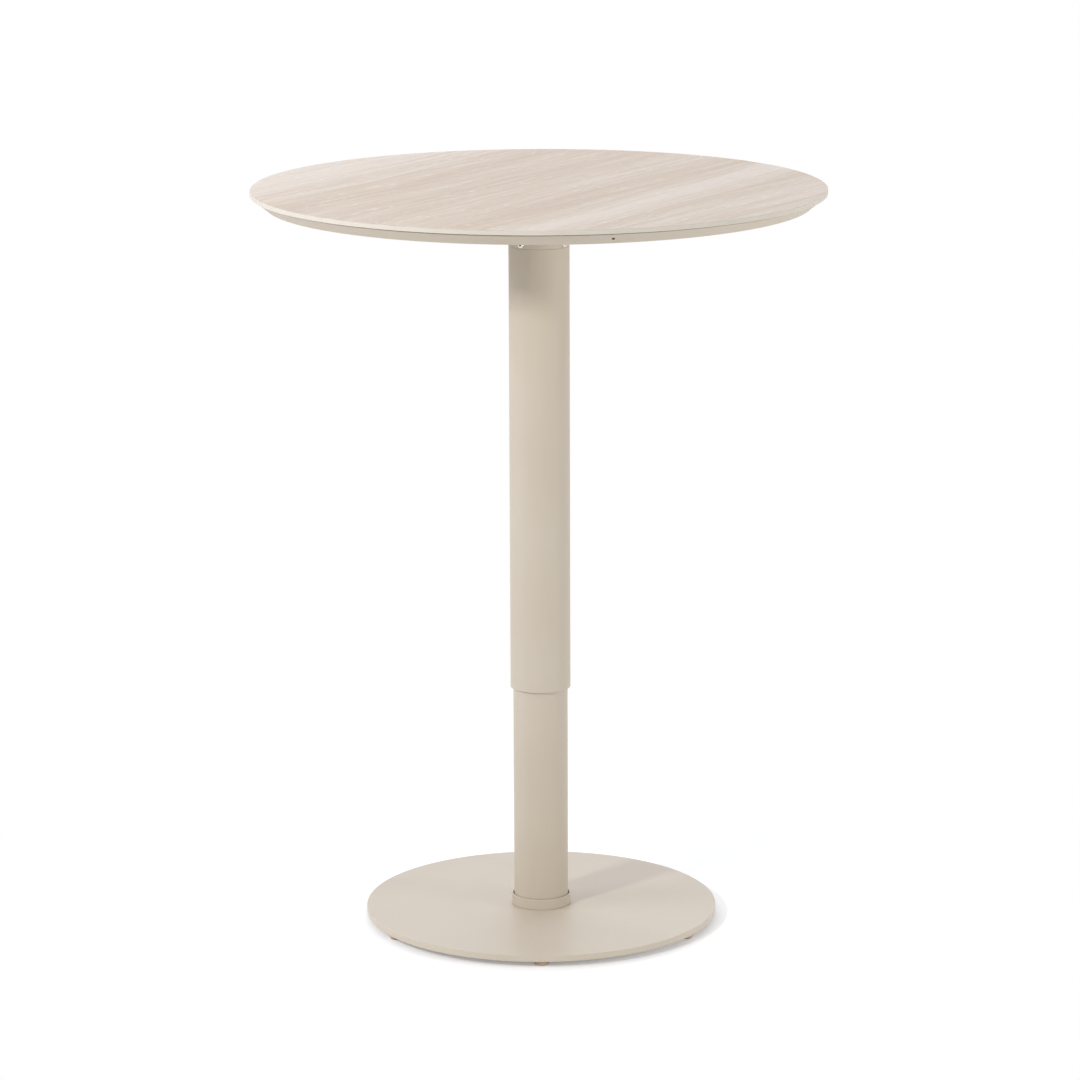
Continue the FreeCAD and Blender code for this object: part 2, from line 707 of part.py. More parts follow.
def build_top():
    """Builds the slab, its bond, the tray and board, and the plate and ring that carry them."""
    thick = "sheet.slab_thick"
    slab = new_piece("table_slab", SLAB_BOTTOM)
    turn(slab, [("0", "0"), (SLAB_RADIUS, "0"), (SLAB_RADIUS, thick), ("0", thick)])
    soften(slab, rim_edges(slab, SLAB_RADIUS, thick), "sheet.slab_arris", "Chamfer")
    bond_rim = f"{SLAB_RADIUS} - sheet.bond_setback"
    tube_piece("bond_ring", TRAY_TOP, bond_rim, f"{bond_rim} - sheet.bond_width", "sheet.bond_thick")

    # The tray's wall follows the bevel at an even thickness.
    depth = "sheet.tray_depth"
    wall = "sheet.tray_wall"
    slope_length = "sqrt(sheet.tray_bevel ^ 2 + sheet.tray_depth ^ 2)"
    wall_run = f"{wall} * {slope_length} / {depth}"
    inner_floor = f"{TRAY_FLOOR} - {wall_run} + {wall} * sheet.tray_bevel / {depth}"
    tray = new_piece("under_tray", TRAY_BOTTOM, DRAIN_BEARING)
    turn(
        tray,
        [
            ("0", "0"),
            (TRAY_FLOOR, "0"),
            (TRAY_RIM, depth),
            (f"{TRAY_RIM} - {wall_run}", depth),
            (inner_floor, wall),
            ("0", wall),
        ],
    )
    bolt_hole = "sheet.mount_bolt_diameter / 2 + sheet.hole_gap"
    drill_ring(tray, "sheet.mount_bolt_circle", "sheet.mount_bolt_count", bolt_hole)
    cut_drains(tray)

    board_rim = f"{inner_floor} - sheet.board_setback"
    board_tall = f"{depth} - {wall}"
    board = new_piece("core_board", BOARD_BOTTOM, DRAIN_BEARING)
    turn(board, [("0", "0"), (board_rim, "0"), (board_rim, board_tall), ("0", board_tall)])
    insert_hole = "sheet.insert_diameter / 2 + sheet.press_gap"
    drill_ring(board, "sheet.mount_bolt_circle", "sheet.mount_bolt_count", insert_hole)

    middle = "sheet.mount_bolt_circle / 2"
    inner = f"{middle} + sheet.mount_bolt_diameter / 2 + sheet.press_gap"
    outer = f"{middle} + sheet.insert_diameter / 2"
    inserts = new_piece("threaded_inserts", BOARD_BOTTOM, DRAIN_BEARING)
    corners = [(inner, "0"), (outer, "0"), (outer, "sheet.insert_tall"), (inner, "sheet.insert_tall")]
    turn(inserts, corners, upright=middle)
    repeat(inserts, "sheet.mount_bolt_count")

    plate_rim = "sheet.mount_diameter / 2"
    plate_thick = "sheet.mount_thick"
    plate = new_piece("mount_plate", MOUNT_BOTTOM)
    turn(plate, [("0", "0"), (plate_rim, "0"), (plate_rim, plate_thick), ("0", plate_thick)])
    soften(plate, rim_edges(plate, plate_rim, "0"), "sheet.mount_round")
    drill_ring(plate, "sheet.mount_bolt_circle", "sheet.mount_bolt_count", bolt_hole, DRAIN_BEARING)
    threads = new_sketch(plate, "XY_Plane")
    bracket_thread = "sheet.bracket_screw_diameter / 2 + sheet.press_gap"
    add_circle(threads, "0", "sheet.bracket_screw_circle / 2", bracket_thread)
    repeat(plate, "sheet.bracket_screw_count", pocket(plate, threads))

    head_tall = "sheet.mount_bolt_head_tall"
    bolt_length = f"{head_tall} + {plate_thick} + {wall} + sheet.mount_bolt_bite"
    bolt_level = f"{MOUNT_BOTTOM} - {head_tall}"
    screw_ring("mount_bolts", bolt_level, DRAIN_BEARING, "mount_bolt", "mount_bolt", bolt_length)

    ring = tube_piece("head_ring", RING_BOTTOM, SLEEVE_RADIUS, RING_BORE, "sheet.ring_tall")
    cut_screw_holes(ring, "sheet.head_screw_rise", "sheet.hole_gap")
    cut_lever_window(ring)
    build_head_screws()


def cut_drains(tray):
    """Cuts the drain holes square to the tray's bevel, half way up it."""
    slope = "atan(sheet.tray_depth / sheet.tray_bevel)"
    depth_in = "sheet.tray_wall * 2"
    before = volume_so_far(tray)
    drain = tray.newObject("PartDesign::SubtractiveCylinder", "drain")
    drain.setExpression("Radius", "sheet.drain_diameter / 2")
    drain.setExpression("Height", f"{depth_in} * 2")
    # The drill comes in along the bevel's own normal, from outside and below.
    drain.Placement = Placement(Vector(), Rotation(Vector(0, 1, 0), -30))
    drain.setExpression("Placement.Rotation.Angle", f"-(90 deg - {slope})")
    drain.setExpression("Placement.Base.x", f"({TRAY_RIM} + {TRAY_FLOOR}) / 2 + {depth_in} * sin({slope})")
    drain.setExpression("Placement.Base.z", f"sheet.tray_depth / 2 - {depth_in} * cos({slope})")
    must_change(tray, before, -1)
    repeat(tray, "sheet.drain_count", drain)


def cut_lever_window(ring):
    """Cuts the window at the rear of the ring that the release lever passes through."""
    half_width = "(sheet.lever_width / 2 + sheet.lever_side_room)"
    middle = f"({PIVOT_LEVEL} - {RING_BOTTOM})"
    low = f"{middle} - sheet.lever_thick / 2 - sheet.lever_room_below"
    high = f"{middle} + sheet.lever_thick / 2 + sheet.lever_room_above"
    window = new_sketch(ring, "XZ_Plane")
    add_rectangle(window, f"-{half_width}", half_width, low, high)
    pocket(ring, window, f"{SLEEVE_RADIUS} + sheet.stop_gap")


def build_head_screws():
    """Builds the radial button-head screws of the ring."""
    level = "0"
    seat = SLEEVE_RADIUS
    crown = f"{SLEEVE_RADIUS} + sheet.head_screw_head_tall"
    tip = f"{RING_BORE} - sheet.head_screw_bite"
    head = "sheet.head_screw_head / 2"
    shank = "sheet.head_screw_diameter / 2"
    screws = new_piece("head_screws", f"{RING_BOTTOM} + sheet.head_screw_rise", SCREW_BEARING)
    corners = [(tip, level), (crown, level), (crown, head), (seat, head), (seat, shank), (tip, shank)]
    turn(screws, corners, level=level)
    crown_edges = []
    for index, edge in enumerate(screws.Tip.Shape.Edges, start=1):
        curve = edge.Curve
        if isinstance(curve, Part.Circle) and abs(curve.Center.x - value(crown)) < 1e-6:
            crown_edges.append(f"Edge{index}")
    soften(screws, crown_edges, "sheet.head_screw_round")
    socket = new_sketch(screws, "YZ_Plane", crown)
    add_hexagon(socket, "0", "0", "sheet.head_screw_socket")
    pocket(screws, socket, "sheet.head_screw_socket_deep")
    repeat(screws, "sheet.head_screw_count")


def build_release():
    """Builds the lever that opens the gas spring's valve, with its bracket and pivot."""
    wall = "sheet.bracket_wall"
    half_gap = "(sheet.lever_width / 2 + sheet.stop_gap)"
    half_out = f"({half_gap} + {wall})"
    drop = f"({MOUNT_BOTTOM} - {PIVOT_LEVEL} + sheet.bracket_edge)"
    bracket = new_piece("lever_bracket", MOUNT_BOTTOM)
    channel = new_sketch(bracket, "XZ_Plane", "sheet.bracket_back")
    add_outline(
        channel,
        [
            (f"-{half_out}", "0"),
            (f"-{half_out}", f"-{drop}"),
            (f"-{half_gap}", f"-{drop}"),
            (f"-{half_gap}", f"-{wall}"),
            (half_gap, f"-{wall}"),
            (half_gap, f"-{drop}"),
            (half_out, f"-{drop}"),
            (half_out, "0"),
        ],
    )
    pad(bracket, channel, "sheet.bracket_back + sheet.lever_arm + sheet.bracket_edge", backwards=True)
    pivot_hole = new_sketch(bracket, "YZ_Plane")
    pivot_up = f"{PIVOT_LEVEL} - {MOUNT_BOTTOM}"
    add_circle(pivot_hole, "sheet.lever_arm", pivot_up, "sheet.pivot_diameter / 2 + sheet.press_gap")
    pocket(bracket, pivot_hole)
    holes = new_sketch(bracket, "XY_Plane")
    hole = "sheet.bracket_screw_diameter / 2 + sheet.hole_gap"
    add_circle(holes, "0", "sheet.bracket_screw_circle / 2", hole)
    repeat(bracket, "sheet.bracket_screw_count", pocket(bracket, holes))
    head_tall = "sheet.bracket_screw_head_tall"
    head_level = f"{MOUNT_BOTTOM} - {wall} - {head_tall}"
    screw_length = f"{head_tall} + {wall} + sheet.mount_thick"
    screw_ring("bracket_screws", head_level, REAR, "bracket_screw", "bracket_screw", screw_length)

    # Pivot pin, with a head at one end and a groove for its clip at the other
    pin = "sheet.pivot_diameter / 2"
    groove = "sheet.clip_bore / 2"
    left = f"-({half_out} + sheet.pivot_head_tall)"
    groove_end = f"({half_out} + sheet.clip_thick)"
    pivot = new_pivoted_piece("pivot_pin")
    turn(
        pivot,
        [
            (left, "0"),
            (f"{half_out} + sheet.pivot_tail", "0"),
            (f"{half_out} + sheet.pivot_tail", pin),
            (groove_end, pin),
            (groove_end, groove),
            (half_out, groove),
            (half_out, pin),
            (f"-{half_out}", pin),
            (f"-{half_out}", "sheet.pivot_head / 2"),
            (left, "sheet.pivot_head / 2"),
        ],
        level="0",
    )
    clip = new_pivoted_piece("pivot_clip")
    clip_rim = "sheet.clip_diameter / 2"
    corners = [(half_out, groove), (groove_end, groove), (groove_end, clip_rim), (half_out, clip_rim)]
    turn(clip, corners, level="0")
    build_lever()


def new_pivoted_piece(label):
    """Starts a piece whose own origin lies on the lever's pivot."""
    body = new_piece(label, PIVOT_LEVEL)
    body.setExpression("Placement.Base.y", "sheet.lever_arm")
    return body


def build_lever():
    """Builds the cranked lever and its grip."""
    half = "sheet.lever_thick / 2"
    knee = "sheet.lever_knee"
    knee_end = "(sheet.lever_knee + sheet.lever_knee_run)"
    low = "-sheet.lever_dip"
    lever = new_pivoted_piece("release_lever")
    bar = new_sketch(lever, "YZ_Plane")
    add_outline(
        bar,
        [
            ("-sheet.lever_arm", f"-{half}"),
            (knee, f"-{half}"),
            (knee_end, f"{low} - {half}"),
            ("sheet.lever_reach", f"{low} - {half}"),
            ("sheet.lever_reach", f"{low} + {half}"),
            (knee_end, f"{low} + {half}"),
            (knee, half),
            ("-sheet.lever_arm", half),
        ],
    )
    pad(lever, bar, "sheet.lever_width", both_ways=True)
    for place, size in (("-sheet.lever_arm", "sheet.lever_nose / 2"), ("0", "sheet.lever_boss / 2")):
        boss = new_sketch(lever, "YZ_Plane")
        add_circle(boss, place, "0", size)
        pad(lever, boss, "sheet.lever_width", both_ways=True)
    bore = new_sketch(lever, "YZ_Plane")
    add_circle(bore, "0", "0", "sheet.pivot_diameter / 2 + sheet.turning_gap")
    pocket(lever, bore)

    # The grip is a rounded block with a well for the lever's end.
    end = "sheet.lever_reach + sheet.grip_wall"
    grip = new_pivoted_piece("lever_grip")
    block = new_sketch(grip, "YZ_Plane")
    half_grip = "sheet.grip_thick / 2"
    add_rectangle(block, f"{end} - sheet.grip_length", end, f"{low} - {half_grip}", f"{low} + {half_grip}")
    pad(grip, block, "sheet.grip_width", both_ways=True)
    doc.recompute()
    every_edge = [f"Edge{index}" for index in range(1, len(grip.Tip.Shape.Edges) + 1)]
    soften(grip, every_edge, "sheet.grip_round")
    well = new_sketch(grip, "YZ_Plane")
    well_half = f"({half} + sheet.press_gap)"
    well_start = f"{end} - sheet.grip_length - sheet.grip_round"
    well_end = "sheet.lever_reach + sheet.press_gap"
    add_rectangle(well, well_start, well_end, f"{low} - {well_half}", f"{low} + {well_half}")
    before = volume_so_far(grip)
    hollow = grip.newObject("PartDesign::Pocket", "grip_well")
    hollow.Profile = well
    hollow.setExpression("Length", "sheet.lever_width + 2 * sheet.press_gap")
    hollow.SideType = "Symmetric"
    must_change(grip, before, -1)


def check_document():
    """Stops the build if any object failed or any piece has no sound solid."""
    doc.recompute()
    for item in doc.Objects:
        if "Invalid" in item.State or "Error" in item.State:
            raise RuntimeError(f"{item.Label} failed: {item.State}")
    for piece in pieces:
        if piece.Shape.isNull() or not piece.Shape.isValid() or not piece.Shape.Solids:
            raise RuntimeError(f"{piece.Label} has no sound solid")


def export_pieces():
    """Writes one STEP file for each piece."""
    os.makedirs("parts", exist_ok=True)
    for piece in pieces:
        piece.Shape.exportStep(f"parts/{piece.Label}.step")
        box = piece.Shape.BoundBox
        print(f"{piece.Label}: {len(piece.Shape.Solids)} solid(s), z {box.ZMin:.2f} to {box.ZMax:.2f}")


fill_sheet()
build_base()
build_column()
build_gas_spring()
build_top()
build_release()
check_document()
export_pieces()
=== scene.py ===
"""Looks of a height-adjustable pedestal table: finishes, fine edges and a plain studio."""

import math

import bmesh
import bpy
from bpy.props import FloatProperty, FloatVectorProperty, IntProperty, PointerProperty
from mathutils import Matrix, Vector


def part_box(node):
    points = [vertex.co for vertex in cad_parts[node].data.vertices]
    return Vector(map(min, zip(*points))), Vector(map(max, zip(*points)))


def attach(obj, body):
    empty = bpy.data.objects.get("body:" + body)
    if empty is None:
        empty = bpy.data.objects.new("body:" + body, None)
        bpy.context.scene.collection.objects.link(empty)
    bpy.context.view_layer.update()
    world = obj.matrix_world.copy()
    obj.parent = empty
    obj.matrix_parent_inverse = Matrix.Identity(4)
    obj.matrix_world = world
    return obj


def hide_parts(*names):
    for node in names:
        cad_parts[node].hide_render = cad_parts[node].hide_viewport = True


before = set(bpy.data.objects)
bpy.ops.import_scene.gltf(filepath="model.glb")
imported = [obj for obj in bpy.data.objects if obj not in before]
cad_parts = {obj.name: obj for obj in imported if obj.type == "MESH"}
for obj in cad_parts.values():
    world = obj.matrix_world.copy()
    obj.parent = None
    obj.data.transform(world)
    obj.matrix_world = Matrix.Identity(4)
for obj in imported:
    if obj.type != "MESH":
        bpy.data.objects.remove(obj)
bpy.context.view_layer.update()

bl_info = {
    "name": "Pedestal table looks",
    "version": (1, 0, 0),
    "blender": (4, 5, 0),
    "location": "View3D > Sidebar > Table",
    "description": "Dresses a height-adjustable pedestal table and sets it in a plain studio",
    "category": "Object",
}

MILLIMETRE = 0.001
SAME_PLACE = 0.001 * MILLIMETRE
FRONT = math.radians(-90)
# Folds between faces: above the first an edge shades as sharp, above the second a bar's edge is eased
SHARP_FOLD = math.radians(35)
EASED_FOLD = math.radians(75)

# The slab's width, and its strata from the front right to the back left: place across the streaks and
# paleness from 0 to 1
STONE_WIDTH = 0.8
STONE_STRATA = (
    (-0.32, 0.60),
    (-0.26, 0.42),
    (-0.20, 0.95),
    (-0.17, 0.80),
    (-0.14, 0.25),
    (-0.10, 0.05),
    (-0.05, 0.45),
    (0.00, 0.42),
    (0.05, 0.10),
    (0.13, 0.32),
    (0.19, 0.10),
    (0.24, 0.65),
    (0.26, 0.40),
    (0.31, 0.90),
)
# Sizes of the stone's patterns: along the streaks, across them and up
STONE_BANDS = (0.60, 0.030, 1.0)
STONE_STREAKS = (0.20, 0.010, 1.0)
STONE_GRAIN = (0.026, 0.0040, 1.0)
STONE_PATCHES = (0.14, 0.03, 1.0)
STONE_PORES = (0.007, 0.0030, 1.0)
# A face of the slab whose normal points up by at least this share is stone, and the others are its edge
STONE_FACE_UP = 0.95

# Sizes of the other finishes' patterns along X, Y and Z; the scuffs are turned to their bearing in plan
SCUFF_STROKES = (0.09, 0.0012, 0.01)
SCUFF_BEARING = math.radians(24)
FLOW_MARKS = (0.02, 0.005, 0.012)
BOARD_PLIES = (4.0, 4.0, 1.6 * MILLIMETRE)
BOARD_GRAIN = (0.12, 0.0035, 0.0035)
BRUSH = (4 * MILLIMETRE, 4 * MILLIMETRE, 0.3 * MILLIMETRE)
FINE_BRUSH = 0.6 * MILLIMETRE
BRIGHT_ROUGHNESS = (0.18, 0.32)
WORN_ROUGHNESS = (0.34, 0.42)
# Share of the base's scuffs, and of the painted light on the floor plate's rim
WEAR_AND_RIM_LIGHT_SHARE = 0.35

# Numbers of the two colour inputs and the colour output of a Mix node
MIX_COLOURS = (6, 7)
MIX_RESULT = 2

# Sizes of the frame's pieces that their boxes don't give
TRAY_WALL = 1.5 * MILLIMETRE
TRAY_BEVEL = 17.5 * MILLIMETRE
DRAIN_RADIUS = 2.5 * MILLIMETRE
DRAIN_BEARING = math.radians(-75.5)
DRAIN_COUNT = 3
MOUNT_BOLT_RING = 80 * MILLIMETRE
MOUNT_BOLT_HOLE = 3.2 * MILLIMETRE
MOUNT_BOLT_COUNT = 4
MOUNT_BOLT_BEARING = DRAIN_BEARING
RING_WALL = 4 * MILLIMETRE
SCREW_RISE = 5.6 * MILLIMETRE
SCREW_HOLE = 2.75 * MILLIMETRE
SCREW_COUNT = 4
SCREW_BEARING = math.radians(-35.5)
BUTTON_SCREW = {
    "head": 4.75 * MILLIMETRE,
    "tall": 2.75 * MILLIMETRE,
    "crown": 1.9 * MILLIMETRE,
    "shank": 2.5 * MILLIMETRE,
    "length": 12 * MILLIMETRE,
    "socket": 3 * MILLIMETRE,
    "deep": 1.5 * MILLIMETRE,
}
PLATE_BOLT = {
    "head": 5.5 * MILLIMETRE,
    "tall": 3.5 * MILLIMETRE,
    "crown": 0.8 * MILLIMETRE,
    "shank": 3 * MILLIMETRE,
    "length": 14.5 * MILLIMETRE,
    "socket": 4 * MILLIMETRE,
    "deep": 2 * MILLIMETRE,
}
BOND_WIDTH = 60 * MILLIMETRE
BOND_ROUND = 0.1 * MILLIMETRE
TUBE_WALL = 2.5 * MILLIMETRE
KEYWAY_HALF = 4 * MILLIMETRE
KEYWAY_DEEP = 1 * MILLIMETRE
COLLAR_WALL = 2 * MILLIMETRE
PLATE_ROUND = 0.8 * MILLIMETRE
BASE_BOLT_RING = 25 * MILLIMETRE
BASE_BOLT_COUNT = 4
BASE_BOLT_SINK = 8.2 * MILLIMETRE
BASE_BOLT_HOLE = 4.2 * MILLIMETRE
BASE_BOLT_SINK_DEEP = 4.4 * MILLIMETRE
GLIDE_RING = 235 * MILLIMETRE
GLIDE_COUNT = 6
GLIDE_SEAT = 4 * MILLIMETRE
GLIDE_WELL = 3.7 * MILLIMETRE
GLIDE_BORE = 2.2 * MILLIMETRE
GLIDE_HOLE_DEEP = 7.3 * MILLIMETRE
LEVER_PIVOT = 22 * MILLIMETRE
LEVER_THICK = 6 * MILLIMETRE
LEVER_KNEE = 30 * MILLIMETRE
LEVER_KNEE_RUN = 25 * MILLIMETRE
LEVER_NOSE = 5 * MILLIMETRE
LEVER_BOSS = 6.5 * MILLIMETRE
LEVER_BORE = 2.6 * MILLIMETRE
WINDOW_SIDE_ROOM = 1.5 * MILLIMETRE
WINDOW_ROOM_BELOW = 3 * MILLIMETRE
WINDOW_ROOM_ABOVE = 6 * MILLIMETRE

# Fine shapes that the frame's pieces don't have
SLAB_FOOT_ROUND = 0.4 * MILLIMETRE
SCREW_SEAT_ROUND = 0.2 * MILLIMETRE
SCREW_TIP_ROUND = 0.4 * MILLIMETRE
WELD_LEG = 3.5 * MILLIMETRE
WELD_RIPPLES = 96
GLIDE_DRAFT = 0.3 * MILLIMETRE
GLIDE_WELL_ROUND = 0.3 * MILLIMETRE
GLIDE_DOME_ROUND = 4.6 * MILLIMETRE
GLIDE_HEAD_ROUND = 0.4 * MILLIMETRE
LEVER_EDGE_ROUND = 0.7 * MILLIMETRE
GRIP_END_ROUND = 5 * MILLIMETRE
GRIP_WAVES = 4
GRIP_WAVE_DEEP = 1.2 * MILLIMETRE
GRIP_FIT = 0.05 * MILLIMETRE
# Exponent of the grip's section: 2 is an ellipse, and more is squarer
GRIP_SQUARENESS = 3.4

# Each lamp's place, the height at which it looks at the column, its width and height, and whether it is cool
LAMPS = {
    "left_lamp": ((-2.06, -2.19, 2.07), 0.9, (0.32, 0.32), False),
    "side_lamp": ((-2.95, -0.52, 2.2), 0.8, (1.4, 1.2), True),
    "right_lamp": ((2.70, -1.25, 1.0), 0.7, (0.9, 0.9), False),
    "back_lamp": ((0.0, 3.0, 2.6), 0.8, (5.5, 1.2), True),
}
PLAIN_LIGHT = (1.0, 1.0, 1.0)
FLOOR_COLOUR = (0.9, 0.9, 0.9, 1.0)
FLOOR_RADIUS = 40.0
FARTHEST_VIEW = 100.0
# Width of the camera's sensor in millimetres, like the lens
SENSOR_WIDTH = 36.0


def screen(red, green, blue):
    """Gives the linear colour of three screen values from 0 to 255."""
    shares = [level / 255 for level in (red, green, blue)]
    return tuple(((share + 0.055) / 1.055) ** 2.4 for share in shares)


def colour_prop(name, description, default):
    """Declares a colour that a user may change."""
    bounds = {"min": 0, "max": 1}
    return FloatVectorProperty(name=name, description=description, subtype="COLOR", default=default, **bounds)


def strength_prop(name, description, default):
    """Declares a strength that a user may change."""
    return FloatProperty(name=name, description=description, min=0, default=default)


def length_prop(name, description, default):
    """Declares a length in metres that a user may change."""
    return FloatProperty(name=name, description=description, unit="LENGTH", min=0, default=default)


def angle_prop(name, description, degrees):
    """Declares an angle that a user may change."""
    return FloatProperty(name=name, description=description, unit="ROTATION", default=math.radians(degrees))


def count_prop(name, description, default):
    """Declares a number of steps that a user may change."""
    return IntProperty(name=name, description=description, min=24, default=default)


class TopLooks(bpy.types.PropertyGroup):
    """Finish and fine shape of the table top."""

    stone_mid: colour_prop("Stone", "Ground colour of the stone face", screen(224, 208, 189))
    stone_light: colour_prop("Pale bands", "Colour of the pale bands in the stone", screen(237, 225, 211))
    stone_dark: colour_prop("Warm bands", "Colour of the darker bands in the stone", screen(215, 196, 176))
    stone_fleck: colour_prop("Dashes", "Colour of the short pale dashes in the stone", screen(248, 240, 229))
    stone_pore: colour_prop("Pores", "Colour of the small pores in the stone", screen(150, 130, 112))
    edge: colour_prop("Edge", "Colour of the slab's cream edge", screen(221, 213, 200))
    bond: colour_prop("Bond", "Colour of the bond line under the slab", screen(68, 52, 40))
    bearing: angle_prop("Grain bearing", "Direction of the stone's streaks in plan, from the +X axis", 59)
    arris: length_prop("Arris", "Rounding of the slab's upper edge", 0.8 * MILLIMETRE)
    tray_bend: length_prop("Tray bend", "Rounding where the tray's bevel meets its floor", 2.5 * MILLIMETRE)
    tray_lip: length_prop("Tray lip", "Rounding of the tray's upper edge", 0.5 * MILLIMETRE)


class CoatLooks(bpy.types.PropertyGroup):
    """Sand-coloured powder coat of the metal parts."""

    sand: colour_prop("Sand", "Colour of the powder coat", screen(201, 189, 171))
    sand_pale: colour_prop("Pale sand", "Colour of the coat where it is a touch paler", screen(205, 194, 177))
    scuff: colour_prop("Scuffs", "Colour of the fine scuffs on the base", screen(226, 218, 206))
    # Painted light: the plate's rim is painted paler in this colour, standing in for light from the bright
    # floor
    painted_rim_light: colour_prop("Rubbed rim", "Colour of the rubbed rim of the floor plate", screen(226, 216, 196))
    peel: length_prop("Peel", "Size of the fine dimples in the coat", 1.1 * MILLIMETRE)
    seam_round: length_prop("Seam edges", "Rounding of the edges in the column's seam", 0.7 * MILLIMETRE)
    tube_round: length_prop("Tube edges", "Rounding of the other outer tube edges", 0.8 * MILLIMETRE)
    bore_round: length_prop("Bore edges", "Rounding of the inner edges of the tubes", 0.4 * MILLIMETRE)


class FittingLooks(bpy.types.PropertyGroup):
    """Colours of the board, plastics, rubber and bare metals."""

    board: colour_prop("Board", "Colour of the pale grain in the board", screen(201, 170, 128))
    board_deep: colour_prop("Deep grain", "Colour of the deep grain in the board", screen(168, 132, 92))
    board_line: colour_prop("Ply lines", "Colour of the lines between the board's plies", screen(122, 90, 60))
    glide: colour_prop("Glides", "Colour of the glides under the plate", screen(196, 172, 150))
    grip: colour_prop("Grip", "Colour of the lever's grip", screen(70, 66, 60))
    guide: colour_prop("Guides", "Colour of the plastic guides in the column", screen(62, 61, 60))
    rubber: colour_prop("Rubber", "Colour of the bump stop", screen(44, 43, 42))
    # Painted shade: this dark colour fills the screws' sockets in place of the shade deep inside them
    socket: colour_prop("Sockets", "Colour of the sockets in the screws", screen(48, 46, 44))
    cylinder: colour_prop("Cylinder", "Colour of the gas cylinder's paint", screen(38, 38, 39))
    zinc: colour_prop("Zinc", "Colour of the zinc plating", screen(196, 198, 202))
    steel: colour_prop("Steel", "Colour of the bright steel", screen(222, 220, 215))
    chrome: colour_prop("Chrome", "Colour of the piston rod", screen(228, 229, 232))
    brass: colour_prop("Brass", "Colour of the threaded inserts", screen(214, 182, 112))


class StageLooks(bpy.types.PropertyGroup):
    """Studio light, floor and camera."""

    dome: strength_prop("Dome", "Strength of the light from all round", 0.452)
    left_lamp: strength_prop("Left lamp", "Power of the lamp at front left", 40.8)
    side_lamp: strength_prop("Side lamp", "Power of the lamp at the left side", 25.8)
    right_lamp: strength_prop("Right lamp", "Power of the lamp at front right", 23.6)
    back_lamp: strength_prop("Back lamp", "Power of the lamp behind", 77.8)
    cool: colour_prop("Cool light", "Colour of the side lamp and the back lamp", (0.82, 0.86, 1.0))
    floor_lift: strength_prop("Floor lift", "Glow that brings the floor to white", 0.24)
    floor_fade: FloatVectorProperty(
        name="Floor fade",
        description="Distances from the column where the floor starts and ends to turn plain white",
        unit="LENGTH",
        size=2,
        default=(0.35, 0.9),
    )
    camera_back: length_prop("Distance", "How far the camera stands in front of the column", 5.995)
    camera_up: length_prop("Height", "Height of the camera above the floor", 1.902)
    camera_dip: angle_prop("Dip", "Angle by which the camera looks down", 12.715)
    camera_roll: angle_prop("Roll", "Angle by which the camera leans to the right", 0.2)
    lens: FloatProperty(name="Lens", description="Focal length in millimetres", min=1, default=145.32)


class TableLooks(bpy.types.PropertyGroup):
    """All that a user may change on the table."""

    top: PointerProperty(type=TopLooks)
    coat: PointerProperty(type=CoatLooks)
    fittings: PointerProperty(type=FittingLooks)
    stage: PointerProperty(type=StageLooks)
    steps: count_prop("Wide steps", "Steps round the slab, tray and plate", 288)
    tube_steps: count_prop("Tube steps", "Steps round the tubes and rings", 144)


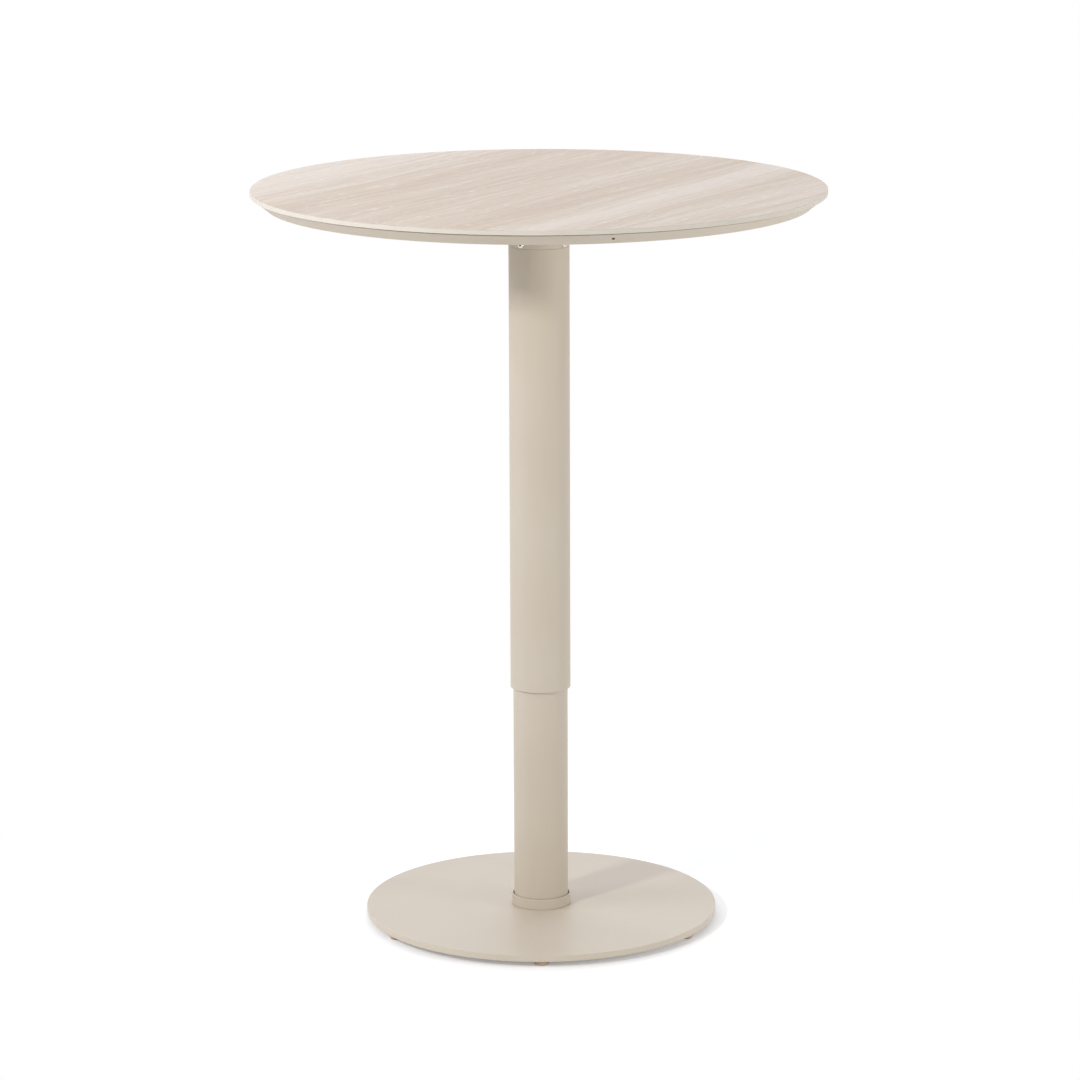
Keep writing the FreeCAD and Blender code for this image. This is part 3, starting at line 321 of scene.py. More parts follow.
class Finish:
    """A procedural material: one principled shader and the nodes that feed it."""

    def __init__(self, name, metallic=0.0, specular=0.5):
        self.material = bpy.data.materials.new(name)
        self.material.use_nodes = True
        self.tree = self.material.node_tree
        self.shader = self.tree.nodes["Principled BSDF"]
        self.shader.inputs["Metallic"].default_value = metallic
        self.shader.inputs["Specular IOR Level"].default_value = specular
        self.coords = self.tree.nodes.new("ShaderNodeTexCoord").outputs["Object"]

    def add(self, kind, sources=(), **settings):
        """Adds a node, sets its options and feeds its inputs with sockets or plain values."""
        node = self.tree.nodes.new(kind)
        for option, setting in settings.items():
            setattr(node, option, setting)
        for key, source in dict(sources).items():
            self.feed(node.inputs[key], source)
        return node

    def feed(self, socket, source):
        """Links a socket to an input, or sets the input's own value."""
        if isinstance(source, bpy.types.NodeSocket):
            self.tree.links.new(source, socket)
        else:
            socket.default_value = source

    def sway(self, size, reach):
        """Lets all patterns that follow wander softly, by a reach over features of a size in metres."""
        sources = {"Vector": self.coords, "Scale": 1 / size, "Detail": 1.0}
        drift = self.add("ShaderNodeTexNoise", sources).outputs["Color"]
        sources = {0: drift, 1: (reach, reach, 0), 2: self.coords}
        self.coords = self.add("ShaderNodeVectorMath", sources, operation="MULTIPLY_ADD").outputs["Vector"]

    def scaled(self, size, bearing):
        """Gives the place as shares of a size in metres along, across and up, at a bearing in plan."""
        sizes = (size,) * 3 if isinstance(size, float) else size
        sources = {"Vector": self.coords, "Rotation": (0, 0, bearing), "Scale": sizes}
        return self.add("ShaderNodeMapping", sources, vector_type="TEXTURE").outputs["Vector"]

    def noise(self, size, detail=2.0, bearing=0.0, lift=0.5):
        """Gives a noise whose features have a size in metres along, across and up, at a bearing in plan."""
        place = self.scaled(size, bearing)
        sources = {"Vector": place, "Scale": 1.0, "Detail": detail, "Roughness": lift}
        return self.add("ShaderNodeTexNoise", sources).outputs["Fac"]

    def across(self, bearing, width):
        """Gives the place across a bearing in plan, as a share of a width about the column's axis."""
        split = self.add("ShaderNodeSeparateXYZ", {"Vector": self.scaled(width, bearing)})
        return self.plus(split.outputs["Y"], 0.5)

    def spread(self, share, span, within=(0.3, 0.7)):
        """Maps a share from within one range onto a span, held at both ends."""
        low, high = span
        start, end = within
        sources = {"Value": share, "From Min": start, "From Max": end, "To Min": low, "To Max": high}
        return self.add("ShaderNodeMapRange", sources, clamp=True).outputs["Result"]

    def ramp(self, share, stops):
        """Gives the colour of a share along stops of (place, colour)."""
        node = self.add("ShaderNodeValToRGB", {"Fac": share})
        elements = node.color_ramp.elements
        while len(elements) < len(stops):
            elements.new(1.0)
        for element, (place, colour) in zip(elements, stops):
            element.position = place
            element.color = (*colour, 1.0)
        return node.outputs["Color"]

    def mix(self, share, first, second):
        """Mixes two colours by a share."""
        node = self.add("ShaderNodeMix", {0: share}, data_type="RGBA")
        for number, source in zip(MIX_COLOURS, (first, second)):
            colour = source if isinstance(source, bpy.types.NodeSocket) else (*source, 1.0)
            self.feed(node.inputs[number], colour)
        return node.outputs[MIX_RESULT]

    def plus(self, first, second):
        """Adds two shares."""
        return self.add("ShaderNodeMath", {0: first, 1: second}, operation="ADD").outputs[0]

    def times(self, first, second):
        """Multiplies two shares."""
        return self.add("ShaderNodeMath", {0: first, 1: second}, operation="MULTIPLY").outputs[0]

    def relief(self, height, depth, below=None):
        """Gives the normal of a relief of a depth in metres, on top of another relief if one is given."""
        sources = {"Height": height, "Distance": depth, "Strength": 1.0}
        if below is not None:
            sources["Normal"] = below
        return self.add("ShaderNodeBump", sources).outputs["Normal"]

    def surface(self, colour, roughness, normal):
        """Feeds the shader and gives the material."""
        for key, source in (("Base Color", colour), ("Roughness", roughness), ("Normal", normal)):
            self.feed(self.shader.inputs[key], source)
        return self.material


def stone_face(looks):
    """Travertine face: strata, thin streaks, short pale dashes and small pores that all run one way."""
    finish = Finish("stone_face", specular=0.1)
    bearing = looks.bearing
    finish.sway(size=0.35, reach=0.02)
    stops = [(0.5 + place / STONE_WIDTH, (paleness,) * 3) for place, paleness in STONE_STRATA]
    strata = finish.ramp(finish.across(bearing, STONE_WIDTH), stops)
    bands = finish.noise(STONE_BANDS, detail=3.0, bearing=bearing)
    streaks = finish.noise(STONE_STREAKS, detail=5.0, bearing=bearing, lift=0.6)
    grain = finish.noise(STONE_GRAIN, detail=3.0, bearing=bearing, lift=0.65)
    patches = finish.noise(STONE_PATCHES, bearing=bearing)
    pores = finish.noise(STONE_PORES, detail=1.0, bearing=bearing)
    banded = finish.plus(strata, finish.spread(bands, (-0.35, 0.35), within=(0.2, 0.8)))
    paleness = finish.plus(banded, finish.spread(streaks, (-0.60, 0.75), within=(0.2, 0.8)))
    stops = [(0.0, looks.stone_dark), (0.45, looks.stone_mid), (1.0, looks.stone_light)]
    ground = finish.ramp(paleness, stops)
    darkened = finish.spread(grain, (0.5, 0.0), within=(0.30, 0.45))
    grained = finish.mix(darkened, ground, looks.stone_dark)
    clusters = finish.spread(patches, (0.15, 1.0), within=(0.42, 0.62))
    dashes = finish.times(finish.spread(grain, (0.0, 1.0), within=(0.56, 0.68)), clusters)
    flecked = finish.mix(dashes, grained, looks.stone_fleck)
    pitted = finish.mix(finish.spread(pores, (0.0, 0.6), within=(0.74, 0.80)), flecked, looks.stone_pore)
    streaked = finish.relief(streaks, depth=0.05 * MILLIMETRE)
    normal = finish.relief(pores, depth=0.04 * MILLIMETRE, below=streaked)
    return finish.surface(pitted, finish.spread(streaks, (0.60, 0.74)), normal)


def cream_edge(looks):
    """Cream edge of the slab: a fine, even body with faint speckles."""
    finish = Finish("cream_edge", specular=0.15)
    cloud = finish.noise(size=0.03)
    speckle = finish.noise(size=1.2 * MILLIMETRE, detail=1.0)
    dim = [0.95 * channel for channel in looks.edge]
    body = finish.ramp(cloud, [(0.35, dim), (0.6, looks.edge)])
    colour = finish.mix(finish.spread(speckle, (0.0, 0.5)), body, looks.edge)
    normal = finish.relief(speckle, depth=0.02 * MILLIMETRE)
    return finish.surface(colour, finish.spread(speckle, (0.48, 0.6)), normal)


def sand_coat(looks, name="sand_coat", roughness=(0.46, 0.56), wear_and_rim_light=0.0, rim_light_from=1.0):
    """Satin powder coat: fine dimples and a faint cloudiness.

    A worn coat has pale scuffs. From a distance to the column's axis outwards it is also painted paler: a
    painted light that stands in for the bright floor lighting the plate's rim.
    """
    finish = Finish(name, specular=0.28)
    cloud = finish.noise(size=0.16)
    peel = finish.noise(size=looks.peel, detail=1.0)
    grain = finish.noise(size=0.25 * looks.peel, detail=0.0)
    body = finish.ramp(cloud, [(0.35, looks.sand), (0.65, looks.sand_pale)])
    colour = finish.mix(finish.spread(grain, (0.0, 0.35)), body, looks.sand_pale)
    if wear_and_rim_light:
        strokes = finish.noise(SCUFF_STROKES, bearing=SCUFF_BEARING, lift=0.6)
        lines = finish.spread(strokes, (0.0, 1.0), within=(0.62, 0.74))
        places = finish.spread(finish.noise(size=0.11), (0.0, wear_and_rim_light), within=(0.48, 0.66))
        flat = finish.add("ShaderNodeVectorMath", {0: finish.coords, 1: (1, 1, 0)}, operation="MULTIPLY")
        length = finish.add("ShaderNodeVectorMath", {0: flat.outputs["Vector"]}, operation="LENGTH")
        distance = length.outputs["Value"]
        # Painted light: from this distance out, the plate's rim is painted paler in place of the floor's
        # light on it
        painted_rim_light = finish.spread(distance, (0.0, wear_and_rim_light), within=(rim_light_from, rim_light_from + MILLIMETRE))
        colour = finish.mix(finish.times(lines, places), colour, looks.scuff)
        colour = finish.mix(painted_rim_light, colour, looks.painted_rim_light)
    normal = finish.relief(peel, depth=0.025 * MILLIMETRE)
    return finish.surface(colour, finish.spread(cloud, roughness), normal)


def shared_coat(looks):
    """Gives the powder coat that most metal parts share, making it the first time."""
    return bpy.data.materials.get("sand_coat") or sand_coat(looks.coat)


def moulded(name, colour, grain=0.7 * MILLIMETRE, roughness=(0.42, 0.55)):
    """Moulded plastic or thick paint: a fine grain and faint flow marks."""
    finish = Finish(name, specular=0.45)
    flow = finish.noise(FLOW_MARKS)
    pits = finish.noise(size=grain, detail=1.0)
    dim = [0.86 * channel for channel in colour]
    bright = [min(1.0, 1.06 * channel) for channel in colour]
    shade = finish.ramp(flow, [(0.3, dim), (0.5, colour), (0.72, bright)])
    normal = finish.relief(pits, depth=0.05 * MILLIMETRE)
    return finish.surface(shade, finish.spread(pits, roughness), normal)


def rubbery(name, colour):
    """Matte rubber or bond: soft unevenness and a dusty bloom."""
    finish = Finish(name, specular=0.25)
    bloom = finish.noise(size=0.008, detail=3.0)
    pits = finish.noise(size=0.9 * MILLIMETRE, detail=1.0)
    dusty = [channel + 0.025 for channel in colour]
    shade = finish.ramp(bloom, [(0.4, colour), (0.7, dusty)])
    normal = finish.relief(pits, depth=0.06 * MILLIMETRE)
    return finish.surface(shade, finish.spread(bloom, (0.72, 0.88)), normal)


def bare_metal(name, colour, roughness, brushed=BRUSH, spangle=0.0):
    """Bare or plated metal: fine brush marks, smudges and, on zinc, a faint spangle."""
    finish = Finish(name, metallic=1.0)
    brush = finish.noise(brushed)
    smudge = finish.noise(size=0.015)
    dim = [(0.9 - spangle) * channel for channel in colour]
    shade = finish.ramp(smudge, [(0.32, dim), (0.62, colour)])
    if spangle:
        flakes = finish.noise(size=2.2 * MILLIMETRE, detail=1.0)
        dull = [0.82 * channel for channel in colour]
        shade = finish.mix(finish.spread(flakes, (0.0, 0.6)), shade, dull)
    normal = finish.relief(brush, depth=0.008 * MILLIMETRE)
    return finish.surface(shade, finish.spread(brush, roughness), normal)


def zinc_plate(looks):
    """Gives the zinc plating that most fasteners share, making it the first time."""
    made = bpy.data.materials.get("zinc")
    return made or bare_metal("zinc", looks.fittings.zinc, roughness=(0.30, 0.48), spangle=0.08)


def ply_board(looks):
    """Plywood: thin plies that show at the edge as dark and pale lines, with grain along each."""
    finish = Finish("ply_board", specular=0.3)
    plies = finish.noise(BOARD_PLIES, detail=0.0)
    grain = finish.noise(BOARD_GRAIN, detail=4.0, lift=0.6)
    body = finish.ramp(grain, [(0.3, looks.board_deep), (0.62, looks.board)])
    layered = finish.mix(finish.spread(plies, (0.75, 0.0), within=(0.38, 0.5)), body, looks.board_line)
    normal = finish.relief(grain, depth=0.08 * MILLIMETRE)
    return finish.surface(layered, finish.spread(grain, (0.6, 0.78)), normal)


def eased(corners, steps=5):
    """Rounds the corners of an outline; a corner is (across, up) or (across, up, rounding)."""
    outline = []
    count = len(corners)
    for index, (across, up, *rounding) in enumerate(corners):
        corner = Vector((across, up))
        if not rounding:
            outline.append(corner)
            continue
        radius = rounding[0]
        before = (Vector(corners[index - 1][:2]) - corner).normalized()
        after = (Vector(corners[(index + 1) % count][:2]) - corner).normalized()
        half = before.angle(after) / 2
        centre = corner + (before + after).normalized() * radius / math.sin(half)
        start = (corner + before * radius / math.tan(half) - centre).normalized()
        end = (corner + after * radius / math.tan(half) - centre).normalized()
        outline += [centre + start.slerp(end, step / steps) * radius for step in range(steps + 1)]
    return outline


def turned(name, outline, steps, closed=True):
    """Turns an outline of (radius, height) points once round the column's axis."""
    shape = bmesh.new()
    ring = [shape.verts.new((across, 0.0, up)) for across, up in outline]
    following = ring[1:] + ring[:1] if closed else ring[1:]
    edges = [shape.edges.new(pair) for pair in zip(ring, following)]
    bmesh.ops.spin(shape, geom=ring + edges, axis=(0, 0, 1), angle=math.tau, steps=steps, use_merge=True)
    bmesh.ops.remove_doubles(shape, verts=shape.verts, dist=SAME_PLACE)
    bmesh.ops.recalc_face_normals(shape, faces=shape.faces)
    return as_object(name, shape)


def as_object(name, shape):
    """Turns a finished shape into an object of the scene."""
    mesh = bpy.data.meshes.new(name)
    shape.to_mesh(mesh)
    shape.free()
    piece = bpy.data.objects.new(name, mesh)
    bpy.context.scene.collection.objects.link(piece)
    return piece


def cut(piece, others):
    """Cuts other shapes out of a piece, merges points that fall together and removes the other shapes."""
    for other in others:
        modifier = piece.modifiers.new(other.name, "BOOLEAN")
        modifier.object = other
        modifier.operation = "DIFFERENCE"
        modifier.solver = "EXACT"
    bpy.context.view_layer.update()
    mesh = bpy.data.meshes.new_from_object(piece.evaluated_get(bpy.context.evaluated_depsgraph_get()))
    shape = bmesh.new()
    shape.from_mesh(mesh)
    bmesh.ops.remove_doubles(shape, verts=shape.verts, dist=SAME_PLACE)
    bmesh.ops.dissolve_degenerate(shape, edges=shape.edges, dist=SAME_PLACE)
    shape.to_mesh(mesh)
    shape.free()
    piece.modifiers.clear()
    piece.data = mesh
    mesh.name = piece.name
    for other in others:
        bpy.data.objects.remove(other)
    return piece


def repeated(piece, count, bearing, reach=0.0):
    """Moves a piece out along +X by a reach and repeats it round the column's axis from a bearing."""
    shape = bmesh.new()
    shape.from_mesh(piece.data)
    shape.transform(Matrix.Rotation(bearing, 4, "Z") @ Matrix.Translation((reach, 0, 0)))
    geometry = shape.verts[:] + shape.edges[:] + shape.faces[:]
    step = math.tau / count
    turn = step * (count - 1)
    bmesh.ops.spin(shape, geom=geometry, axis=(0, 0, 1), angle=turn, steps=count - 1, use_duplicate=True)
    shape.to_mesh(piece.data)
    shape.free()
    return piece


def rod(name, radius, length, place, direction, steps=48):
    """Makes a round rod with its middle at a place, along a direction."""
    shape = bmesh.new()
    turn = Vector(direction).to_track_quat("Z", "Y").to_matrix().to_4x4()
    bmesh.ops.create_cone(
        shape,
        cap_ends=True,
        segments=steps,
        radius1=radius,
        radius2=radius,
        depth=length,
        matrix=Matrix.Translation(place) @ turn,
    )
    return as_object(name, shape)


def block(name, low, high):
    """Makes a block between two corners."""
    shape = bmesh.new()
    size = Vector(high) - Vector(low)
    middle = (Vector(high) + Vector(low)) / 2
    bmesh.ops.create_cube(shape, size=1.0, matrix=Matrix.Translation(middle) @ Matrix.Diagonal((*size, 1.0)))
    return as_object(name, shape)


def arc(centre, radius, start, end, steps=24):
    """Gives the points of an arc in a side outline, from one angle to another."""
    angles = [start + (end - start) * step / steps for step in range(steps + 1)]
    return [centre + radius * Vector((math.cos(angle), math.sin(angle))) for angle in angles]


def flat_bar(name, outline, half_width, edge_round):
    """Makes a flat bar with eased edges from its side outline of (y, z) points and half its width."""
    shape = bmesh.new()
    side = shape.faces.new([shape.verts.new((-half_width, along, up)) for along, up in outline])
    grown = bmesh.ops.extrude_face_region(shape, geom=[side])["geom"]
    moved = [item for item in grown if isinstance(item, bmesh.types.BMVert)]
    bmesh.ops.translate(shape, vec=(2 * half_width, 0, 0), verts=moved)
    bmesh.ops.recalc_face_normals(shape, faces=shape.faces)
    rims = [edge for edge in shape.edges if edge.calc_face_angle(0) > EASED_FOLD]
    bmesh.ops.bevel(shape, geom=rims, offset=edge_round, segments=3, profile=0.5, affect="EDGES")
    return as_object(name, shape)


def hand_grip(name, low, high, stations=96, steps=48):
    """Makes a grip along Y: softly squared, rounded at both ends, with finger waves below."""
    middle = (Vector(low) + Vector(high)) / 2
    half = (Vector(high) - Vector(low)) / 2
    power = 2 / GRIP_SQUARENESS
    shape = bmesh.new()
    rings = []
    for station in range(stations + 1):
        # Stations crowd towards both ends, where the grip rounds off.
        along = -math.cos(math.pi * station / stations) * half.y
        to_end = max(0.0, 1 - (half.y - abs(along)) / GRIP_END_ROUND)
        draw_in = GRIP_END_ROUND * (1 - math.sqrt(1 - to_end**2))
        wave = GRIP_WAVE_DEEP * (0.5 - 0.5 * math.cos(math.pi * GRIP_WAVES * (1 + along / half.y)))
        ring = []
        for step in range(steps):
            angle = math.tau * step / steps
            cosine, sine = math.cos(angle), math.sin(angle)
            across = math.copysign(abs(cosine) ** power, cosine) * (half.x - draw_in)
            up = math.copysign(abs(sine) ** power, sine) * (half.z - draw_in)
            lift = wave * max(0.0, -sine) if to_end == 0 else 0.0
            ring.append(shape.verts.new(middle + Vector((across, along, up + lift))))
        rings.append(ring)
    for ring, following in zip(rings, rings[1:]):
        for step in range(steps):
            ahead = (step + 1) % steps
            shape.faces.new((ring[step], ring[ahead], following[ahead], following[step]))
    shape.faces.new(rings[0])
    shape.faces.new(rings[-1])
    bmesh.ops.recalc_face_normals(shape, faces=shape.faces)
    return as_object(name, shape)


def weld_bead(name, radius, level, steps=6):
    """Makes a fillet weld round a tube, below a plate at a level, with steps across it and in each ripple."""
    root = radius - WELD_LEG / 4
    bulge = 0.12 * WELD_LEG
    ripple_deep = 0.1 * WELD_LEG
    ripple_middle = 0.6
    outline = [(root, level), (radius + WELD_LEG, level)]
    for step in range(1, steps):
        share = step / steps
        swell = bulge * math.sin(math.pi * share)
        outline.append((radius + WELD_LEG * (1 - share) + swell, level - WELD_LEG * share - swell))
    outline += [(radius, level - WELD_LEG), (root, level - WELD_LEG)]
    bead = turned(name, outline, steps * WELD_RIPPLES)
    for vertex in bead.data.vertices:
        across = vertex.co.xy.length
        free = across > radius and vertex.co.z < level
        if free:
            angle = math.atan2(vertex.co.y, vertex.co.x)
            ripple = ripple_deep * (abs(math.sin(WELD_RIPPLES * angle / 2)) - ripple_middle)
            vertex.co.xy *= 1 + ripple / across
            vertex.co.z -= ripple
    return bead


def socket_screw(name, sizes, looks, metal, node, steps=96):
    """Makes an upright screw with its head's seat at zero and a hexagon socket whose faces are painted dark
    as painted shade, in place of a node.
    """
    head, top, tip = sizes["head"], sizes["tall"], -sizes["length"]
    corners = [
        (0.0, top),
        (head, top, sizes["crown"]),
        (head, 0.0, SCREW_SEAT_ROUND),
        (sizes["shank"], 0.0),
        (sizes["shank"], tip, SCREW_TIP_ROUND),
        (0.0, tip),
    ]
    screw = turned(name, eased(corners), steps, closed=False)
    corner_reach = sizes["socket"] / math.sqrt(3)
    cut(screw, [rod("socket", corner_reach, 2 * sizes["deep"], (0, 0, top), (0, 0, 1), steps=6)])
    # Painted shade: the faces inside the socket get a dark finish that stands in for the shade deep in the
    # hole
    dark = bpy.data.materials.get("socket_shade") or rubbery("socket_shade", looks.fittings.socket)
    dress(screw, "top", [metal, dark], [node])
    socket_top = top - 0.1 * sizes["deep"]
    for face in screw.data.polygons:
        sunk = 0 < face.center.z < socket_top
        face.material_index = int(sunk and face.center.xy.length < corner_reach)
    return screw


def dress(piece, body, finishes, replaces=()):
    """Gives a new piece its shading, finishes and body, and hides the nodes that it stands for."""
    mesh = piece.data
    mesh.materials.clear()
    for finish in finishes:
        mesh.materials.append(finish)
    mesh.shade_smooth()
    mesh.set_sharp_from_angle(angle=SHARP_FOLD)
    weighting = piece.modifiers.new("even_shading", "WEIGHTED_NORMAL")
    weighting.keep_sharp = True
    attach(piece, body)
    if replaces:
        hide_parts(*replaces)


def round_size(node):
    """Gives the outer radius, the foot and the head of a round node on the column's axis."""
    low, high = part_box(node)
    return min(high.x, -low.x), low.z, high.z


def paint(finish, *nodes):
    """Gives a finish to nodes of the frame."""
    for name in nodes:
        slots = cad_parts[name].data.materials
        slots.clear()
        slots.append(finish)


def tube(name, node, wall, roundings, steps):
    """Turns a tube of a node's size, with the roundings of its lower, upper and bore edges."""
    radius, foot, head = round_size(node)
    below, above, inside = roundings
    bore = radius - wall
    corners = [(bore, foot, inside), (radius, foot, below), (radius, head, above), (bore, head, inside)]
    return turned(name, eased(corners), steps)


class TABLE_OT_slab(bpy.types.Operator):
    """Round slab with a stone face and a cream edge, on its dark bond line"""

    bl_idname = "table.slab"
    bl_label = "Slab"

    def execute(self, context):
        looks = context.scene.table_looks
        rim, foot, head = round_size("table_slab")
        corners = [(0.0, foot), (rim, foot, SLAB_FOOT_ROUND), (rim, head, looks.top.arris), (0.0, head)]
        slab = turned("stone_slab", eased(corners), looks.steps, closed=False)
        dress(slab, "top", [stone_face(looks.top), cream_edge(looks.top)], ["table_slab"])
        for face in slab.data.polygons:
            face.material_index = int(face.normal.z < STONE_FACE_UP)
        bond = tube("bond_line", "bond_ring", BOND_WIDTH, 3 * (BOND_ROUND,), looks.steps)
        dress(bond, "top", [rubbery("bond_line", looks.top.bond)], ["bond_ring"])
        return {"FINISHED"}


class TABLE_OT_tray(bpy.types.Operator):
    """Bevelled tray under the slab with its drain holes, the board in it and the plate under it"""

    bl_idname = "table.tray"
    bl_label = "Tray"

    def execute(self, context):
        looks = context.scene.table_looks
        rim, foot, head = round_size("under_tray")
        slope = math.atan2(head - foot, TRAY_BEVEL)
        inner_rim = rim - TRAY_WALL / math.sin(slope)
        floor = rim - TRAY_BEVEL
        inner_floor = floor - TRAY_WALL * math.tan(slope / 2)
        bend, lip = looks.top.tray_bend, looks.top.tray_lip
        corners = [
            (0.0, foot),
            (floor, foot, bend),
            (rim, head, lip),
            (inner_rim, head, lip),
            (inner_floor, foot + TRAY_WALL, bend - TRAY_WALL),
            (0.0, foot + TRAY_WALL),
        ]
        tray = turned("sand_tray", eased(corners), looks.steps, closed=False)
        through = 8 * TRAY_WALL
        drain_place = ((rim + floor) / 2, 0, (foot + head) / 2)
        drain = rod("drain", DRAIN_RADIUS, through, drain_place, (math.sin(slope), 0, -math.cos(slope)))
        bolt_hole = rod("bolt_hole", MOUNT_BOLT_HOLE, through, (MOUNT_BOLT_RING, 0, foot), (0, 0, 1))
        drains = repeated(drain, DRAIN_COUNT, DRAIN_BEARING)
        cut(tray, [drains, repeated(bolt_hole, MOUNT_BOLT_COUNT, MOUNT_BOLT_BEARING)])
        dress(tray, "top", [shared_coat(looks)], ["under_tray"])
        paint(shared_coat(looks), "mount_plate")
        paint(ply_board(looks.fittings), "core_board")
        return {"FINISHED"}


class TABLE_OT_head(bpy.types.Operator):
    """Ring under the tray with its weld, its window for the lever and its screws, and the plate's bolts"""

    bl_idname = "table.head"
    bl_label = "Ring, screws and bolts"

    def execute(self, context):
        looks = context.scene.table_looks
        coat = looks.coat
        radius, foot, head = round_size("head_ring")
        roundings = (coat.seam_round, coat.bore_round, coat.bore_round)
        ring = tube("head_collar", "head_ring", RING_WALL, roundings, looks.tube_steps)
        lever_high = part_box("release_lever")[1]
        pivot_level = lever_high.z - LEVER_BOSS
        half_width = lever_high.x + WINDOW_SIDE_ROOM
        low = (-half_width, radius / 2, pivot_level - LEVER_THICK / 2 - WINDOW_ROOM_BELOW)
        high = (half_width, 2 * radius, pivot_level + LEVER_THICK / 2 + WINDOW_ROOM_ABOVE)
        screw_level = foot + SCREW_RISE
        hole = rod("screw_hole", SCREW_HOLE, 4 * RING_WALL, (radius, 0, screw_level), (1, 0, 0))
        cut(ring, [block("window", low, high), repeated(hole, SCREW_COUNT, SCREW_BEARING)])
        dress(ring, "top", [shared_coat(looks)], ["head_ring"])
        bead = weld_bead("ring_weld", radius, head)
        dress(bead, "top", [shared_coat(looks)])
        steel = looks.fittings.steel
        bright = bare_metal("polished_steel", steel, roughness=BRIGHT_ROUGHNESS, brushed=FINE_BRUSH)
        screws = socket_screw("button_screws", BUTTON_SCREW, looks, bright, "head_screws")
        outward = Matrix.Rotation(math.radians(90), 4, "Y")
        screws.data.transform(Matrix.Translation((radius, 0, screw_level)) @ outward)
        repeated(screws, SCREW_COUNT, SCREW_BEARING)
        zinc = zinc_plate(looks)
        bolts = socket_screw("plate_bolts", PLATE_BOLT, looks, zinc, "mount_bolts")
        downward = Matrix.Rotation(math.radians(180), 4, "X")
        bolts.data.transform(Matrix.Translation((MOUNT_BOLT_RING, 0, head)) @ downward)
        repeated(bolts, MOUNT_BOLT_COUNT, MOUNT_BOLT_BEARING)
        return {"FINISHED"}


class TABLE_OT_column(bpy.types.Operator):
    """Two column tubes, one sliding on the other"""

    bl_idname = "table.column"
    bl_label = "Column"

    def execute(self, context):
        looks = context.scene.table_looks
        coat = looks.coat
        roundings = (coat.tube_round, coat.seam_round, coat.bore_round)
        sleeve = tube("outer_tube", "sleeve_tube", TUBE_WALL, roundings, looks.tube_steps)
        radius, foot, head = round_size("sleeve_tube")
        reach = radius - TUBE_WALL + KEYWAY_DEEP
        low = (-reach, -KEYWAY_HALF, foot - TUBE_WALL)
        high = (reach, KEYWAY_HALF, head + TUBE_WALL)
        cut(sleeve, [block("keyways", low, high)])
        dress(sleeve, "top", [shared_coat(looks)], ["sleeve_tube"])
        roundings = (coat.bore_round, coat.tube_round, coat.bore_round)
        inner = tube("inner_tube", "lower_tube", TUBE_WALL, roundings, looks.tube_steps)
        dress(inner, "base", [shared_coat(looks)], ["lower_tube"])
        return {"FINISHED"}


class TABLE_OT_base(bpy.types.Operator):
    """Floor plate, collar and glides"""

    bl_idname = "table.base"
    bl_label = "Base"

    def execute(self, context):
        looks = context.scene.table_looks
        coat = looks.coat
        plate_rim = round_size("base_plate")[0]
        # The plate's rim gets the painted light from here outwards
        rim_light_from = plate_rim - PLATE_ROUND
        worn_and_rim_lit_coat = sand_coat(coat, "worn_sand_coat", WORN_ROUGHNESS, WEAR_AND_RIM_LIGHT_SHARE, rim_light_from)
        roundings = (coat.tube_round, coat.tube_round, coat.bore_round)
        collar = tube("foot_collar", "base_collar", COLLAR_WALL, roundings, looks.tube_steps)
        dress(collar, "base", [worn_and_rim_lit_coat], ["base_collar"])
        dress(self.make_plate(looks), "base", [worn_and_rim_lit_coat], ["base_plate"])
        tan_plastic = moulded("tan_plastic", looks.fittings.glide)
        dress(self.make_glides(), "base", [tan_plastic], ["foot_glides"])
        return {"FINISHED"}

    def make_plate(self, looks):
        """Makes the floor plate, countersunk below for its bolts and drilled for the glides' screws."""
        rim, foot, head = round_size("base_plate")
        corners = [(0.0, foot), (rim, foot, PLATE_ROUND), (rim, head, PLATE_ROUND), (0.0, head)]
        plate = turned("floor_plate", eased(corners), looks.steps, closed=False)
        below, above = foot - MILLIMETRE, head + MILLIMETRE
        sink_outline = [
            (0.0, below),
            (BASE_BOLT_SINK, below),
            (BASE_BOLT_SINK, foot),
            (BASE_BOLT_HOLE, foot + BASE_BOLT_SINK_DEEP),
            (BASE_BOLT_HOLE, above),
            (0.0, above),
        ]
        sink = turned("sink", sink_outline, steps=48, closed=False)
        hole = rod("glide_hole", GLIDE_BORE, 2 * GLIDE_HOLE_DEEP, (0, 0, foot), (0, 0, 1))
        sinks = repeated(sink, BASE_BOLT_COUNT, FRONT, BASE_BOLT_RING)
        return cut(plate, [sinks, repeated(hole, GLIDE_COUNT, FRONT, GLIDE_RING)])

    def make_glides(self):
        """Makes the domed glides, each with a slight draft and a sunk seat for its screw."""
        low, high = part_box("foot_glides")
        side_bearing = FRONT + math.tau / GLIDE_COUNT
        radius = high.x - GLIDE_RING * math.cos(side_bearing)
        corners = [
            (GLIDE_WELL, low.z, GLIDE_WELL_ROUND),
            (radius - GLIDE_DRAFT, low.z, GLIDE_DOME_ROUND),
            (radius, high.z, GLIDE_HEAD_ROUND),
            (GLIDE_BORE, high.z),
            (GLIDE_BORE, low.z + GLIDE_SEAT),
            (GLIDE_WELL, low.z + GLIDE_SEAT),
        ]
        glide = turned("tan_glides", eased(corners), steps=72)
        return repeated(glide, GLIDE_COUNT, FRONT, GLIDE_RING)


